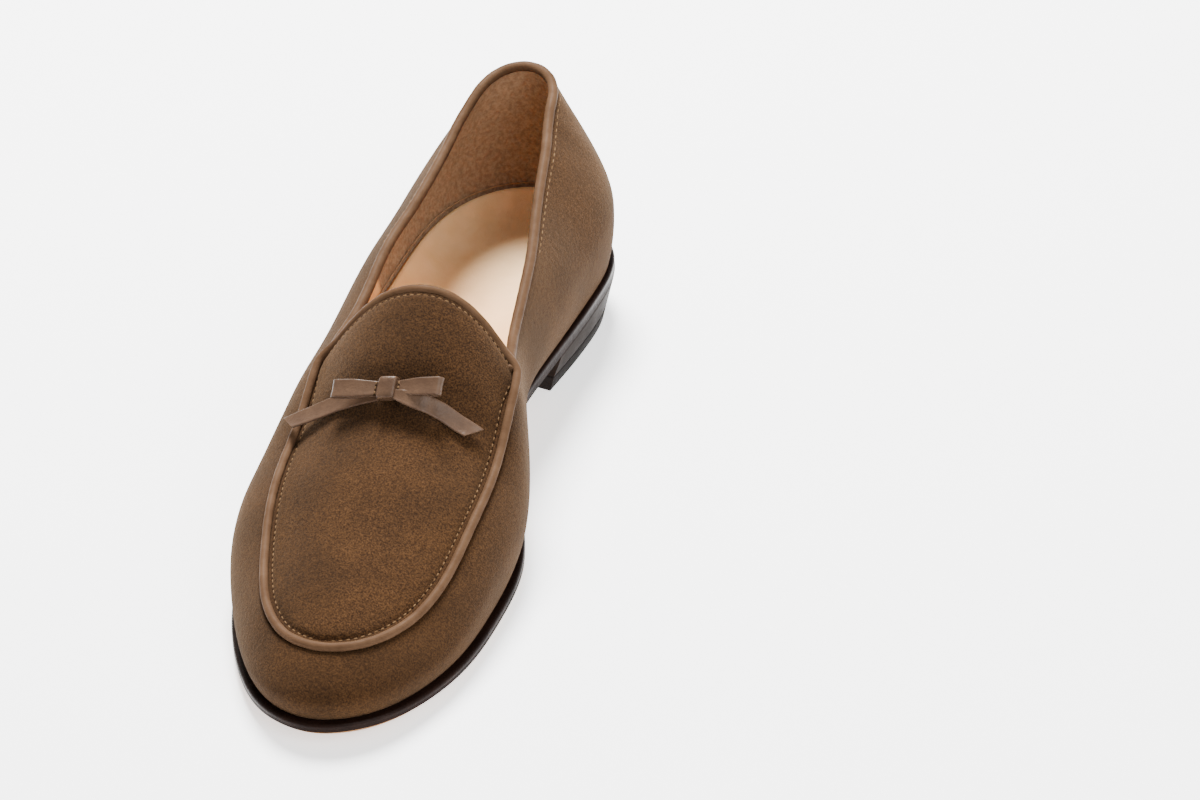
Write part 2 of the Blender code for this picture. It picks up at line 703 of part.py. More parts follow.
def centre_on_floor(shoe):
    """Moves the whole shoe so that its box is centred over the origin."""
    bpy.context.view_layer.update()
    graph = bpy.context.evaluated_depsgraph_get()
    points = []
    for piece in shoe.collection.objects:
        if piece.type != "EMPTY":
            evaluated = piece.evaluated_get(graph)
            mesh = evaluated.to_mesh()
            points += [evaluated.matrix_world @ vertex.co for vertex in mesh.vertices]
            evaluated.to_mesh_clear()
    points = np.array(points)
    middle = (points.min(axis=0) + points.max(axis=0)) / 2
    shoe.root.location = (-middle[0], -middle[1], 0)


def main():
    for thing in list(bpy.data.objects):
        bpy.data.objects.remove(thing, do_unlink=True)
    collection = bpy.data.collections.new("belgian_loafer")
    bpy.context.scene.collection.children.link(collection)
    root = bpy.data.objects.new("loafer_origin", None)
    collection.objects.link(root)
    shoe = SimpleNamespace(collection=collection, root=root)
    last = read_last()
    build_outsole(last, shoe)
    build_heel(last, shoe)
    build_upper(last, shoe)
    build_insole(last, shoe)
    build_pipings(last, shoe)
    build_bow(last, shoe)
    centre_on_floor(shoe)


main()
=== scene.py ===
"""Looks of the right belgian loafer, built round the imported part.

Metres, +Z up, toe towards -Y. The same last as the part is read with more ribs and rows, and each
piece stands for the solid of that place: suede upper with its linings, pipings, stitches, bow,
sock, sole and heel. Then come a white floor, soft lights and the camera.
"""

import math
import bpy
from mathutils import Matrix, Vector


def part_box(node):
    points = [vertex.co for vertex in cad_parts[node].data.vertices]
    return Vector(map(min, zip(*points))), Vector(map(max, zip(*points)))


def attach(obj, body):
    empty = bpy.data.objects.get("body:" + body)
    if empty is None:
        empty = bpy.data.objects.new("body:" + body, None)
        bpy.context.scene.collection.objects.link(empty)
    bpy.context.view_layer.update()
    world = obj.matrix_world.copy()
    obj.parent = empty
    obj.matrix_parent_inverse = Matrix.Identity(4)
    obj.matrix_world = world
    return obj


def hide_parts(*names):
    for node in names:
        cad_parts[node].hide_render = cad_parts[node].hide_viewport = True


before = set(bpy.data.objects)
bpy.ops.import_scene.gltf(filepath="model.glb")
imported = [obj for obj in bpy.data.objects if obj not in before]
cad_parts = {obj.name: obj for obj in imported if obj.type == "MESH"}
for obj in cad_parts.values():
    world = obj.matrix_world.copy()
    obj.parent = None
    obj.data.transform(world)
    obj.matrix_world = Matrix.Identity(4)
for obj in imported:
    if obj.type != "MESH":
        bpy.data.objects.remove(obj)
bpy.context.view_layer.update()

from types import SimpleNamespace

import bmesh
import bpy
import numpy as np
from mathutils import Matrix, Vector
from mathutils.kdtree import KDTree

# Driving sizes of the last
LAST_LENGTH = 0.291
BALL_WIDTH = 0.092
COLLAR_HEIGHT = 0.067
TONGUE_DOME = 0.030
HEEL_RISE = 0.0195
TOE_SPRING = 0.005
BULGE = 0.009
BULGE_HEIGHT = 0.023
RIDGE_SHIFT = 0.0055
RIDGE_LEAN = 0.5
SIDE_SHARPNESS = 1.2

# Upper
UPPER_WALL = 0.0020
SHELL_SHARE = 0.9
BINDING_TRIM = 0.4
JUNCTION = 0.537
TONGUE_REACH = 0.0050
APRON_ROUNDNESS = 2.15
GROOVE_WIDTH = 0.0023
GROOVE_DEPTH = 0.0013
LIP_RISE = 0.0010

# Sole, heel and insole
SOLE_THICKNESS = 0.0048
SOLE_MARGIN = 0.0029
SOLE_BEAD = 0.0012
SOLE_BEVEL = 0.0018
HEEL_LENGTH = 0.083
HEEL_TAPER = 0.0052
BREAST_HOLLOW = 0.004
LIFT_THICKNESS = 0.0060
HEEL_ROUNDING = 0.0004
WAIST_DEPTH = 0.0002
INSOLE_THICKNESS = 0.0022
INSOLE_CURL = 0.011
CURL_POWER = 3
SOCK_EDGE_RADIUS = 0.00028

# Piping and bow
APRON_PIPING_RADIUS = 0.0016
TOPLINE_RADIUS = 0.0017
PIPING_SINK = 0.0006
TONGUE_SINK = 0.0003
PIPING_INSET = 0.00005
BINDING_SWELL = 0.0002
PIPING_RIPPLE = (0.02, 0.9)
BINDING_RIPPLE = (0.015, 1.1)
RIBBON_WIDTH = 0.0062
RIBBON_THICKNESS = 0.0012
LOOP_LENGTH = 0.0200
LOOP_HEIGHT = 0.0042
TAIL_CUT = 0.0045
TAIL_LIFT = 0.0040
KNOT_LENGTH = 0.0080
KNOT_WIDTH = 0.0070
KNOT_OVERLAP = 0.0008
BOW_STATION = 0.615
BOW_ACROSS = -0.10
BOW_SEAT = 0.0007

# Clearance between pieces that touch, and how near two points are joined
GAP = 0.0003
WELD = 1e-6

# How finely the last is read
FINER = 4
RIBS_PER_SIDE = 42 * FINER
CROWDING = 0.35
LOWER_ROWS = 12
UPPER_ROWS = 26
APRON_COLUMNS = 72
TONGUE_ROWS = 14
PLATE_COLUMNS = 12
INSOLE_RINGS = 18
INSOLE_MIDDLE = 0.48
HEEL_ROWS = 48
RAMP_RIBS = 1.5 * FINER
TURN_COLUMNS = 14
SKIPPED_COLUMNS = 3
BEAD_STEPS = 5
EDGE_STEPS = 5
BEVEL_STEPS = 4
LOOP_STEPS = 12
TAIL_STEPS = 60
TUBE_SIDES = 16
STITCH_SIDES = 8
RIBBON_SIDES = 40
KNOT_RINGS = 33
KNOT_SIDES = 56
CURVE_SAMPLES = 40
SEAM_SAMPLES = 6
ACROSS_STEP = 0.05
CORD_STEP = 0.0012
STITCH_STEP = 0.0008


class Table:
    """Columns of shares by station along the last or a ribbon, read as curves that never overshoot
    a row."""

    def __init__(self, names, *rows):
        self.columns = dict(zip(names.split(), np.array(rows).T))

    def read(self, name, station):
        x, y = self.columns["station"], self.columns[name]
        slope = np.diff(y) / np.diff(x)
        before, after = slope[:-1], slope[1:]
        level = before * after <= 0
        mean = 2 * before * after / np.where(level, 1, before + after)
        tangent = np.concatenate([slope[:1], np.where(level, 0, mean), slope[-1:]])
        k = np.clip(np.searchsorted(x, station, side="right") - 1, 0, len(x) - 2)
        step = x[k + 1] - x[k]
        w = np.clip((station - x[k]) / step, 0, 1)
        rise = w * w * (3 - 2 * w)
        start = w * (1 - w) ** 2 * step * tangent[k]
        end = w * w * (1 - w) * step * tangent[k + 1]
        return y[k] + (y[k + 1] - y[k]) * rise + start - end

    def blend(self, name, station, medial_share):
        """The named column of each side, mixed by how far a rib faces the inner side."""
        medial = self.read("medial_" + name, station)
        lateral = self.read("lateral_" + name, station)
        return lateral + (medial - lateral) * medial_share


# Half widths of the feather line, as shares of BALL_WIDTH
OUTLINE = Table(
    "station medial lateral",
    (0.02, 0.200, 0.165),
    (0.08, 0.365, 0.300),
    (0.19, 0.375, 0.370),
    (0.32, 0.300, 0.390),
    (0.44, 0.260, 0.400),
    (0.57, 0.400, 0.470),
    (0.67, 0.475, 0.520),
    (0.75, 0.470, 0.505),
    (0.85, 0.430, 0.415),
    (0.93, 0.330, 0.290),
    (0.985, 0.175, 0.130),
)
TOE_POINT = 0.014

# Top of the sole above its flat forefoot: shares of HEEL_RISE and TOE_SPRING
PROFILE = Table(
    "station heel toe",
    (0.00, 1.00, 0.00),
    (0.08, 1.00, 0.00),
    (0.15, 0.975, 0.00),
    (0.28, 0.83, 0.00),
    (0.40, 0.62, 0.00),
    (0.50, 0.44, 0.00),
    (0.60, 0.11, 0.00),
    (0.66, 0.00, 0.00),
    (0.72, 0.00, 0.00),
    (0.80, 0.00, 0.12),
    (0.88, 0.00, 0.32),
    (0.94, 0.00, 0.50),
    (1.00, 0.00, 0.78),
)

# How far the wall swells past the feather line, and where, then how far the sole stands out
# and how much of its lower corner is cut off: shares of BULGE, BULGE_HEIGHT, SOLE_MARGIN and
# SOLE_BEVEL. The power says how round the wall turns in above the bulge.
WALL = Table(
    "station medial_bulge lateral_bulge height power margin bevel",
    (0.00, 0.42, 0.42, 0.98, 2.00, 0.55, 0.15),
    (0.10, 0.30, 0.48, 0.92, 1.85, 0.60, 0.15),
    (0.20, 0.34, 0.52, 0.90, 1.80, 0.60, 0.15),
    (0.30, 0.65, 0.64, 0.94, 2.00, 0.40, 0.15),
    (0.42, 1.00, 0.73, 1.00, 2.20, 0.24, 0.50),
    (0.50, 0.90, 0.67, 0.94, 2.25, 0.40, 0.80),
    (0.60, 0.59, 0.53, 0.81, 2.25, 0.70, 1.00),
    (0.74, 0.33, 0.33, 0.62, 2.10, 0.96, 1.00),
    (0.90, 0.24, 0.16, 0.30, 1.80, 1.00, 1.00),
    (1.00, 0.20, 0.19, 0.28, 1.90, 1.00, 1.00),
)

# The line of the piping, collar behind the junction and plug ahead of it: how far out on its
# rib, and its height above the sole as a share of COLLAR_HEIGHT
EDGE = Table(
    "station medial_reach lateral_reach medial_height lateral_height",
    (0.00, 0.83, 0.83, 0.980, 0.980),
    (0.03, 0.62, 0.69, 0.955, 0.935),
    (0.06, 0.49, 0.61, 0.920, 0.880),
    (0.10, 0.455, 0.56, 0.875, 0.840),
    (0.15, 0.50, 0.53, 0.845, 0.805),
    (0.25, 0.645, 0.575, 0.760, 0.745),
    (0.35, 0.82, 0.68, 0.705, 0.700),
    (0.45, 0.895, 0.71, 0.650, 0.665),
    (0.53, 0.90, 0.74, 0.700, 0.670),
    (0.58, 0.85, 0.74, 0.665, 0.630),
    (0.62, 0.80, 0.73, 0.595, 0.570),
    (0.67, 0.775, 0.72, 0.540, 0.535),
    (0.72, 0.77, 0.71, 0.500, 0.515),
    (0.82, 0.755, 0.70, 0.380, 0.420),
    (0.90, 0.705, 0.705, 0.315, 0.360),
    (0.96, 0.66, 0.67, 0.305, 0.315),
    (1.00, 0.61, 0.61, 0.295, 0.295),
)

# The crown of the apron over the plug line, and how far its ridge lies towards the inner side:
# shares of TONGUE_DOME and RIDGE_SHIFT
CROWN = Table(
    "station dome shift",
    (0.30, 1.10, 0.00),
    (0.48, 1.05, 1.00),
    (0.52, 0.99, 1.00),
    (0.54, 0.89, 1.00),
    (0.59, 0.74, 1.00),
    (0.62, 0.54, 0.90),
    (0.65, 0.43, 0.82),
    (0.71, 0.36, 0.80),
    (0.80, 0.34, 0.60),
    (0.88, 0.34, 0.40),
    (0.92, 0.30, 0.30),
    (0.96, 0.20, 0.20),
)

# The spine that the ribs leave from
SPINE_HEEL = 0.125
SPINE_TOE = 0.875
SPINE_BLEND = 0.05

# Routes of the bow's tails: how far ahead of the knot, as a share of the knot's length, how far
# across the apron, how far off it, as a share of TAIL_LIFT, and how wide, as a share of its width.
# The inner tail leaves the knot over its loop.
MEDIAL_TAIL = Table(
    "station ahead across off width",
    (0.00, 0.20, -0.03, 0.92, 0.50),
    (0.14, 0.29, 0.09, 1.08, 0.80),
    (0.30, 0.37, 0.24, 1.00, 1.00),
    (0.50, 0.45, 0.42, 0.32, 1.00),
    (0.75, 0.60, 0.60, 0.12, 1.00),
    (1.00, 0.71, 0.77, 0.30, 1.00),
)
LATERAL_TAIL = Table(
    "station ahead across off width",
    (0.00, 0.20, -0.19, 0.25, 0.55),
    (0.14, 0.16, -0.30, 0.15, 0.80),
    (0.35, 0.10, -0.46, 0.05, 1.00),
    (0.58, 0.10, -0.62, 0.10, 1.00),
    (0.80, 0.17, -0.82, 0.50, 1.00),
    (1.00, 0.24, -1.01, 1.10, 1.00),
)
# A loop from the knot to its fold: how wide it is, and how far its two layers stand apart
LOOP_ROWS = (0.0, 0.74, 0.44), (0.30, 0.86, 0.76), (0.65, 1.00, 1.00), (1.0, 1.02, 1.00)
LOOP = Table("station width rise", *LOOP_ROWS)

# Places from the heel's top to its foot, and how far its wall is set in there, as a share of
# HEEL_ROUNDING
HEEL_EDGES = ((0.0, 1.0), (0.03, 0.3), (0.08, 0.0), (0.5, 0.0), (0.92, 0.0), (0.97, 0.3), (1.0, 1.0))

# Places from a stitch's middle to its two ends, and its girth there, as a share of its radius
STITCH_ENDS = np.array([-1.0, -0.92, -0.6, 0.0, 0.6, 0.92, 1.0])
STITCH_GIRTH = np.array([0.02, 0.5, 0.9, 1.0, 0.9, 0.5, 0.02])

# Curl of the insole's edge, as a share of INSOLE_CURL
CURL_ROWS = (0.0, 0.75), (0.2, 0.80), (0.42, 1.00), (0.6, 0.50), (0.8, 0.22), (1.0, 0.12)
CURL = Table("station edge", *CURL_ROWS)


def length(vectors):
    return np.linalg.norm(vectors, axis=-1)


def unit(vectors):
    return vectors / length(vectors)[..., None]


def distances(line):
    """How far along a line each of its points lies."""
    return np.concatenate([[0], np.cumsum(length(np.diff(line, axis=0)))])


def sample(at, places, points):
    """The points that are given at rising places, read at others."""
    return np.stack([np.interp(at, places, axis) for axis in points.T], axis=-1)


def soft_least(a, b, blend):
    return 0.5 * (a + b - np.sqrt((a - b) ** 2 + blend**2))


def soft_most(a, b, blend):
    return -soft_least(-a, -b, blend)


def closed_curve(points, stops, count):
    """A smooth closed curve through the points, cut into count lengths from stop to stop, the
    shorter ones near the stops."""
    points = np.asarray(points, float)
    chord = length(np.roll(points, -1, 0) - points)
    ahead, behind = 1 / chord, 1 / np.roll(chord, 1)
    after = (np.roll(points, -1, 0) - points) * ahead[:, None] ** 2
    before = (points - np.roll(points, 1, 0)) * behind[:, None] ** 2
    system = 2 * np.diag(ahead + behind)
    system += np.roll(np.diag(ahead), 1, axis=1) + np.roll(np.diag(behind), -1, axis=1)
    tangent = np.linalg.solve(system, 3 * (after + before))
    w = np.linspace(0, 1, CURVE_SAMPLES, endpoint=False)[:, None]
    fine = []
    for k in range(len(points)):
        following = (k + 1) % len(points)
        span = points[following] - points[k]
        start, end = tangent[k] * chord[k], tangent[following] * chord[k]
        bend = start * w * (1 - w) ** 2 - end * w * w * (1 - w)
        fine.append(points[k] + span * w * w * (3 - 2 * w) + bend)
    fine = np.concatenate(fine + [points[:1]])
    run = distances(fine)
    marks = [run[stop * len(w)] for stop in stops] + [run[-1]]
    share = np.linspace(0, 1, count, endpoint=False)
    share = share - CROWDING * np.sin(2 * np.pi * share) / (2 * np.pi)
    at = np.concatenate([a + (b - a) * share for a, b in zip(marks, marks[1:])])
    return sample(at, run, fine)


def sole_top(station):
    heel = HEEL_RISE * PROFILE.read("heel", station)
    return SOLE_THICKNESS + heel + TOE_SPRING * PROFILE.read("toe", station)


def read_last():
    """The ribs in order round the shoe: heel, inner side, toe, outer side."""
    station, medial, lateral = (OUTLINE.columns[name] for name in ("station", "medial", "lateral"))
    shares = [(0, 0), *zip(medial, -station), (TOE_POINT, -1), *zip(-lateral[::-1], -station[::-1])]
    foot = closed_curve(
        np.array(shares) * (BALL_WIDTH, LAST_LENGTH), (0, len(station) + 1), RIBS_PER_SIDE
    )
    travel = unit(np.roll(foot, -1, 0) - np.roll(foot, 1, 0))
    last = SimpleNamespace(foot=foot, outward=np.stack([-travel[:, 1], travel[:, 0]], axis=1))
    last.station = -foot[:, 1] / LAST_LENGTH
    last.medial_share = 0.5 + 0.5 * np.clip(SIDE_SHARPNESS * last.outward[:, 0], -1, 1)
    ahead = soft_least(SPINE_TOE, last.station, SPINE_BLEND)
    ahead = soft_most(SPINE_HEEL, ahead, SPINE_BLEND)
    last.spine = np.stack([RIDGE_SHIFT * CROWN.read("shift", ahead), -ahead * LAST_LENGTH], axis=1)
    last.reach = length(foot - last.spine)
    last.ray = unit(foot - last.spine)
    last.bulge = BULGE * WALL.blend("bulge", last.station, last.medial_share)
    last.bulge_height = BULGE_HEIGHT * WALL.read("height", last.station)
    last.power = WALL.read("power", last.station)
    last.margin = SOLE_MARGIN * WALL.read("margin", last.station)
    last.bevel = SOLE_BEVEL * WALL.read("bevel", last.station)
    last.foot_z = sole_top(last.station) + GAP
    last.edge_share = EDGE.blend("reach", last.station, last.medial_share)
    height = COLLAR_HEIGHT * EDGE.blend("height", last.station, last.medial_share)
    last.edge_z = sole_top(last.station) + height
    last.edge = wall(last, 2.0)
    shared_ribs = last.station[:RIBS_PER_SIDE:FINER]
    last.junction = FINER * int(np.argmin(np.abs(shared_ribs - JUNCTION)))
    last.ahead = np.arange(last.junction, 2 * RIBS_PER_SIDE - last.junction + 1)
    last.ramp = ramp(last.junction)
    last.lip = last.edge + np.column_stack(
        [-GROOVE_WIDTH * last.ramp[:, None] * last.ray, LIP_RISE * last.ramp]
    )
    return last


def wall(last, level):
    """A point on each rib: level 0 at the feather line, 1 at the bulge, 2 at the piping."""
    low, high = np.minimum(level, 1.0), np.maximum(level - 1.0, 0.0)
    out = last.reach + last.bulge * (1 - (1 - low) ** 2)
    out = out * (1 - (1 - last.edge_share) * high**last.power)
    up = last.foot_z + last.bulge_height * low
    up = up + (last.edge_z - last.foot_z - last.bulge_height) * high
    return np.column_stack([last.spine + out[:, None] * last.ray, up])


def level_below_edge(last, distance):
    """The level that lies this far down the wall from the piping."""
    inward = (last.reach + last.bulge) * (1 - last.edge_share) * last.power
    rise = last.edge_z - last.foot_z - last.bulge_height
    return 2.0 - distance / np.hypot(inward, rise)


def ease(share):
    """0 to 1 with a level start and end."""
    share = np.clip(share, 0, 1)
    return share * share * (3 - 2 * share)


def ramp(junction):
    """Share of the full groove or trim: none at the junction, all of it a few ribs away."""
    ribs = np.arange(2 * RIBS_PER_SIDE)
    away = np.abs(np.minimum(ribs, 2 * RIBS_PER_SIDE - ribs) - junction)
    return ease(away / RAMP_RIBS)


def sides(ring):
    """The inner and the outer half of a ring, point for point from the heel to the toe."""
    return ring[: RIBS_PER_SIDE + 1], ring[-np.arange(RIBS_PER_SIDE + 1)]


def row_at(last, station):
    """The row of the apron whose middle lies at this station."""
    near, far = sides(last.lip)
    middle = -(near[:, 1] + far[:, 1]) / 2 / LAST_LENGTH
    return np.interp(station, middle, np.arange(RIBS_PER_SIDE + 1))


def apron(last, row, across, back=0.0):
    """A point of the apron. Across runs from -1 on the outer side to 1 on the inner side, and
    back from 0 to 1 carries the row at the junction on to the tongue's end."""
    row, across, back = np.broadcast_arrays(row, across, back)
    rows = np.arange(RIBS_PER_SIDE + 1)
    near, far = (sample(row, rows, side) for side in sides(last.lip))
    centre, half = (near + far) / 2, (near - far) / 2
    point = centre + half * across[..., None]
    point[..., 1] += TONGUE_REACH * back * np.sqrt(np.maximum(1 - across**2, 0))
    station = -(point[..., 1] - half[..., 1] * across) / LAST_LENGTH
    crown = 1 - np.abs(across) ** APRON_ROUNDNESS
    opening = length(last.edge[last.junction] - last.edge[-last.junction]) / 2
    spread = np.minimum(length(half) / opening, 1)
    point[..., 2] += TONGUE_DOME * CROWN.read("dome", station) * spread * crown
    ridge = RIDGE_SHIFT * CROWN.read("shift", station) - centre[..., 0]
    point[..., 0] += ridge * crown * RIDGE_LEAN * spread
    return point


def ladder(ring, columns):
    """Rows across a plate, from the heel to the toe, between the two sides of its outline."""
    near, far = sides(ring)
    share = np.linspace(0, 1, columns + 1)[None, :, None]
    return far[:, None] + (near - far)[:, None] * share


def plate_ring(last, margin, lift):
    """The outline this far past the feather line and this far above the sole's top."""
    flat = last.foot + last.outward * np.reshape(margin, (-1, 1))
    return on_sole(flat, np.reshape(lift, (-1, 1)))


def on_sole(points, lift):
    """The same points set on the sole's top, this far above it."""
    height = sole_top(-points[..., 1:2] / LAST_LENGTH) + lift
    return np.concatenate([points[..., :2], height], axis=-1)


def fold_directions(last):
    """On each rib at the piping: the way up the wall, and the way out of the fold."""
    below = wall(last, level_below_edge(last, GROOVE_WIDTH))
    over = last.edge + np.column_stack([-GROOVE_WIDTH * last.ray, np.full(len(below), LIP_RISE)])
    travel = np.roll(last.edge, -1, 0) - np.roll(last.edge, 1, 0)
    return unit(last.edge - below), unit(np.cross(travel, below - over))


def tongue_frame(last, across):
    """Points on the tongue's end, with the ways out of its surface and off its end."""
    step = 1e-4
    at = apron(last, last.junction, across, 1.0)
    ahead = apron(last, last.junction + 1, across) - apron(last, last.junction, across)
    inner = apron(last, last.junction, across * (1 - step) + step, 1.0)
    outer = apron(last, last.junction, across * (1 - step) - step, 1.0)
    travel = unit(inner - outer)
    normal = unit(np.cross(ahead, travel))
    return at, normal, unit(np.cross(normal, travel))


def columns_across():
    """Shares across the apron, closer together near its sides."""
    return -np.cos(np.linspace(0, np.pi, APRON_COLUMNS + 1))


def ring_round(rows):
    """The points round a plate made of rows: down its inner side, across, and back up."""
    return np.concatenate([rows[:, -1], rows[-1, -2:0:-1], rows[:0:-1, 0]])


def heel_rows(last, height):
    """Rows across the heel at this height, from its back to its hollow breast."""
    margin = last.margin - HEEL_TAPER * (1 - height / HEEL_RISE)
    near, far = sides(plate_ring(last, margin, 0))
    back = near[0, 1]
    drop = 1 - np.cos(np.linspace(0, np.pi / 2, HEEL_ROWS + 1))
    along = (back - (back + HEEL_LENGTH) * drop)[:, None]
    share = np.linspace(0, 1, PLATE_COLUMNS + 1)[None]
    inner = np.interp(-along, -near[:, 1], near[:, 0])
    outer = np.interp(-along, -far[:, 1], far[:, 0])
    hollow = BREAST_HOLLOW * (1 - (2 * share - 1) ** 2) * drop[:, None] ** 2
    points = [outer + (inner - outer) * share, along + hollow, np.full_like(hollow, height)]
    return np.stack(points, axis=-1)


def inside_wall(last, level, depth):
    """Points this deep under the wall's outer face, level with or below the bulge."""
    slope = 2 * last.bulge * (1 - level) / last.bulge_height
    steep = 1 / np.hypot(1, slope)
    points = wall(last, level)
    points[:, :2] -= last.ray * (depth * steep)[:, None]
    points[:, 2] += depth * steep * slope
    return points


# Suede relief beside the seams
PUFF = 0.0006
PUFF_REACH = 0.0050
TRENCH = 0.0005
TRENCH_PLACE = 0.0007
TRENCH_WIDTH = 0.0009

# Stitches
APRON_PITCH = 0.0025
APRON_STITCH = (0.0014, 0.00027)
TOPLINE_PITCH = 0.0031
TOPLINE_STITCH = (0.0018, 0.00026)
TOPLINE_DROP = 0.0034
KNOT_PITCH = 0.0015
KNOT_STITCH = (0.0010, 0.00026)
KNOT_STITCH_LINE = (0.0006, 0.25, 0.6)
KNOT_LINE_POINTS = 12
STITCH_SINK = 0.00008
STITCH_UP = (0.13, 0.2, 1)
# Needle holes: dark bars sunk between the stitches, their near-black colour painted shade of the
# holes
HOLE = (0.0009, 0.00042)
HOLE_SINK = 0.7

# How much of each seam is stitched, then how its line turns round the toe and the tongue
SIDE_STITCHED = 0.955
COLLAR_STITCHED = 0.72
TONGUE_STITCHED = 0.93
TONGUE_POINTS = 60
TONGUE_LEAST = 0.0022
TOE_RIBS = 40
TOE_LIFT = 0.0004

# Bow
KNOT_SQUARENESS = 0.34
KNOT_WAIST = 0.06
KNOT_DOME = 0.12
RIBBON_SQUARENESS = (0.35, 0.7)
RIBBON_MIDDLE = 0.58
RIBBON_ROLL = 0.62
SLANT_START = 0.6
WRINKLE = 0.00013
WRINKLE_PITCH = 0.0011
WRINKLE_REACH = 0.007

# Camera, from the fit to the photograph: its place before centring, and its own three ways
CAMERA_PLACE = (0.42940, -1.33929, 0.91735)
CAMERA_RIGHT = (0.965185, 0.255779, -0.054729)
CAMERA_DOWN = (0.103694, -0.566252, -0.817684)
CAMERA_FORWARD = (-0.240137, 0.783541, -0.573060)
CAMERA_LENS = 131.8
SENSOR_WIDTH = 36

# Light: the sky's strength, each lamp's place, size and power, then half the floor's side and
# how it glows
SKY = 0.7
KEY_LIGHT = ((-0.22, 0.70, 1.35), 0.6, 118)
FRONT_LIGHT = ((0.9, -0.7, 0.9), 1.0, 17)
FLOOR_REACH = 4
FLOOR_GLOW = 1.2

# Marks in the materials: how wide those of a noise of scale 1 are, then sizes in metres
NOISE_MARK = 0.6
SUEDE_PATCH = 0.012
SUEDE_CLOUD = 0.045
SUEDE_GRAIN = 0.00034
PORE = 0.0006
CREASE = 0.0014

# Where along the shoe the lining turns to suede, and the sock to its greyer heel, a tone painted for
# the shade inside the heel
LINING_JOIN = (0.066, 0.068)
SOCK_CHANGE = (0.02, 0.11)


def add_grid(shape, points, round_trip=False, slot=0):
    """Faces over an array of points, rows by columns. A round trip joins the last column on."""
    rows, columns = points.shape[:2]
    verts = [[shape.verts.new(point) for point in row] for row in points]
    for i in range(rows - 1):
        for j in range(columns if round_trip else columns - 1):
            k = (j + 1) % columns
            face = shape.faces.new((verts[i][j], verts[i][k], verts[i + 1][k], verts[i + 1][j]))
            face.material_index = slot


def sewn_mesh(name, grids, inside=None):
    """One mesh sewn from grids where their edges meet. Its faces turn away from the inside point,
    or out of its own volume where no point is given."""
    shape = bmesh.new()
    for grid in grids:
        add_grid(shape, *grid)
    bmesh.ops.remove_doubles(shape, verts=shape.verts, dist=WELD)
    bmesh.ops.recalc_face_normals(shape, faces=shape.faces)
    if inside is None:
        facing = shape.calc_volume(signed=True)
    else:
        inside = Vector(inside)
        facing = sum(face.normal.dot(face.calc_center_median() - inside) for face in shape.faces)
    if facing < 0:
        bmesh.ops.reverse_faces(shape, faces=shape.faces)
    return mesh_from(name, shape)


def mesh_from(name, shape):
    mesh = bpy.data.meshes.new(name)
    shape.to_mesh(mesh)
    shape.free()
    return mesh


def add_object(name, data):
    made = bpy.data.objects.new(name, data)
    bpy.context.scene.collection.objects.link(made)
    return made


def add_piece(shoe, mesh, finishes, nodes=(), sharp=None):
    """The mesh as a piece of the shoe, in place of the named solids."""
    for finish in finishes:
        mesh.materials.append(finish)
    mesh.shade_smooth()
    if sharp:
        mesh.set_sharp_from_angle(angle=math.radians(sharp))
    mesh.transform(shoe.shift)
    piece = add_object(mesh.name, mesh)
    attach(piece, "root")
    if nodes:
        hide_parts(*nodes)
    return piece


def thicken(piece, thickness, offset, lining=0):
    """A wall on one side of the piece. Its other face takes the finish this many slots on."""
    shell = piece.modifiers.new("wall", "SOLIDIFY")
    shell.thickness = thickness
    shell.offset = offset
    shell.use_even_offset = True
    shell.use_quality_normals = True
    shell.thickness_clamp = 0
    shell.material_offset = lining


class Finish:
    """A material whose colour, gloss and bump come from noise in the shoe's own metres."""

    def __init__(self, name, sockets):
        self.made = bpy.data.materials.new(name)
        self.made.use_nodes = True
        self.tree = self.made.node_tree
        self.shader = self.tree.nodes["Principled BSDF"]
        self.place = self.tree.nodes.new("ShaderNodeTexCoord").outputs["Object"]
        for socket, value in sockets.items():
            self.shader.inputs[socket].default_value = value

    def add(self, kind, links=(), **settings):
        node = self.tree.nodes.new(kind)
        for name, value in settings.items():
            setattr(node, name, value)
        for socket, source in dict(links).items():
            if isinstance(source, bpy.types.NodeSocket):
                self.tree.links.new(source, node.inputs[socket])
            else:
                node.inputs[socket].default_value = source
        return node

    def noise(self, size, detail, roughness):
        """Noise whose marks are about this size, in metres."""
        settings = {"Vector": self.place, "Scale": NOISE_MARK / size}
        settings.update({"Detail": detail, "Roughness": roughness})
        return self.add("ShaderNodeTexNoise", settings).outputs["Fac"]

    def pores(self, size):
        """Small round dips, this far apart."""
        settings = {"Vector": self.place, "Scale": 1 / size}
        return self.add("ShaderNodeTexVoronoi", settings).outputs["Distance"]

    def along(self, axis, low, high):
        """0 to 1 as a point's own coordinate goes from low to high."""
        parts = self.add("ShaderNodeSeparateXYZ", {"Vector": self.place})
        span = {"Value": parts.outputs[axis], "From Min": low, "From Max": high}
        return self.add("ShaderNodeMapRange", span).outputs["Result"]

    def ramp(self, share, *stops):
        """Colours or greys along a share, as (place, colour)."""
        node = self.add("ShaderNodeValToRGB", {"Fac": share})
        elements = node.color_ramp.elements
        while len(elements) < len(stops):
            elements.new(0.5)
        for element, (place, colour) in zip(elements, stops):
            element.position = place
            element.color = (*np.broadcast_to(colour, 3), 1)
        return node.outputs["Color"]

    def blend(self, kind, share, a, b):
        links = {0: share, 6: a, 7: b}
        settings = {"data_type": "RGBA", "blend_type": kind, "clamp_result": False}
        return self.add("ShaderNodeMix", links, **settings).outputs[2]

    def colour(self, source):
        self.tree.links.new(source, self.shader.inputs["Base Color"])

    def gloss(self, source):
        self.tree.links.new(source, self.shader.inputs["Roughness"])

    def bump(self, *heights):
        """Relief from pairs of a height and its depth in metres."""
        normal = None
        for height, depth in heights:
            links = {"Height": height, "Distance": depth, "Strength": 1.0}
            if normal:
                links["Normal"] = normal
            normal = self.add("ShaderNodeBump", links).outputs["Normal"]
        self.tree.links.new(normal, self.shader.inputs["Normal"])


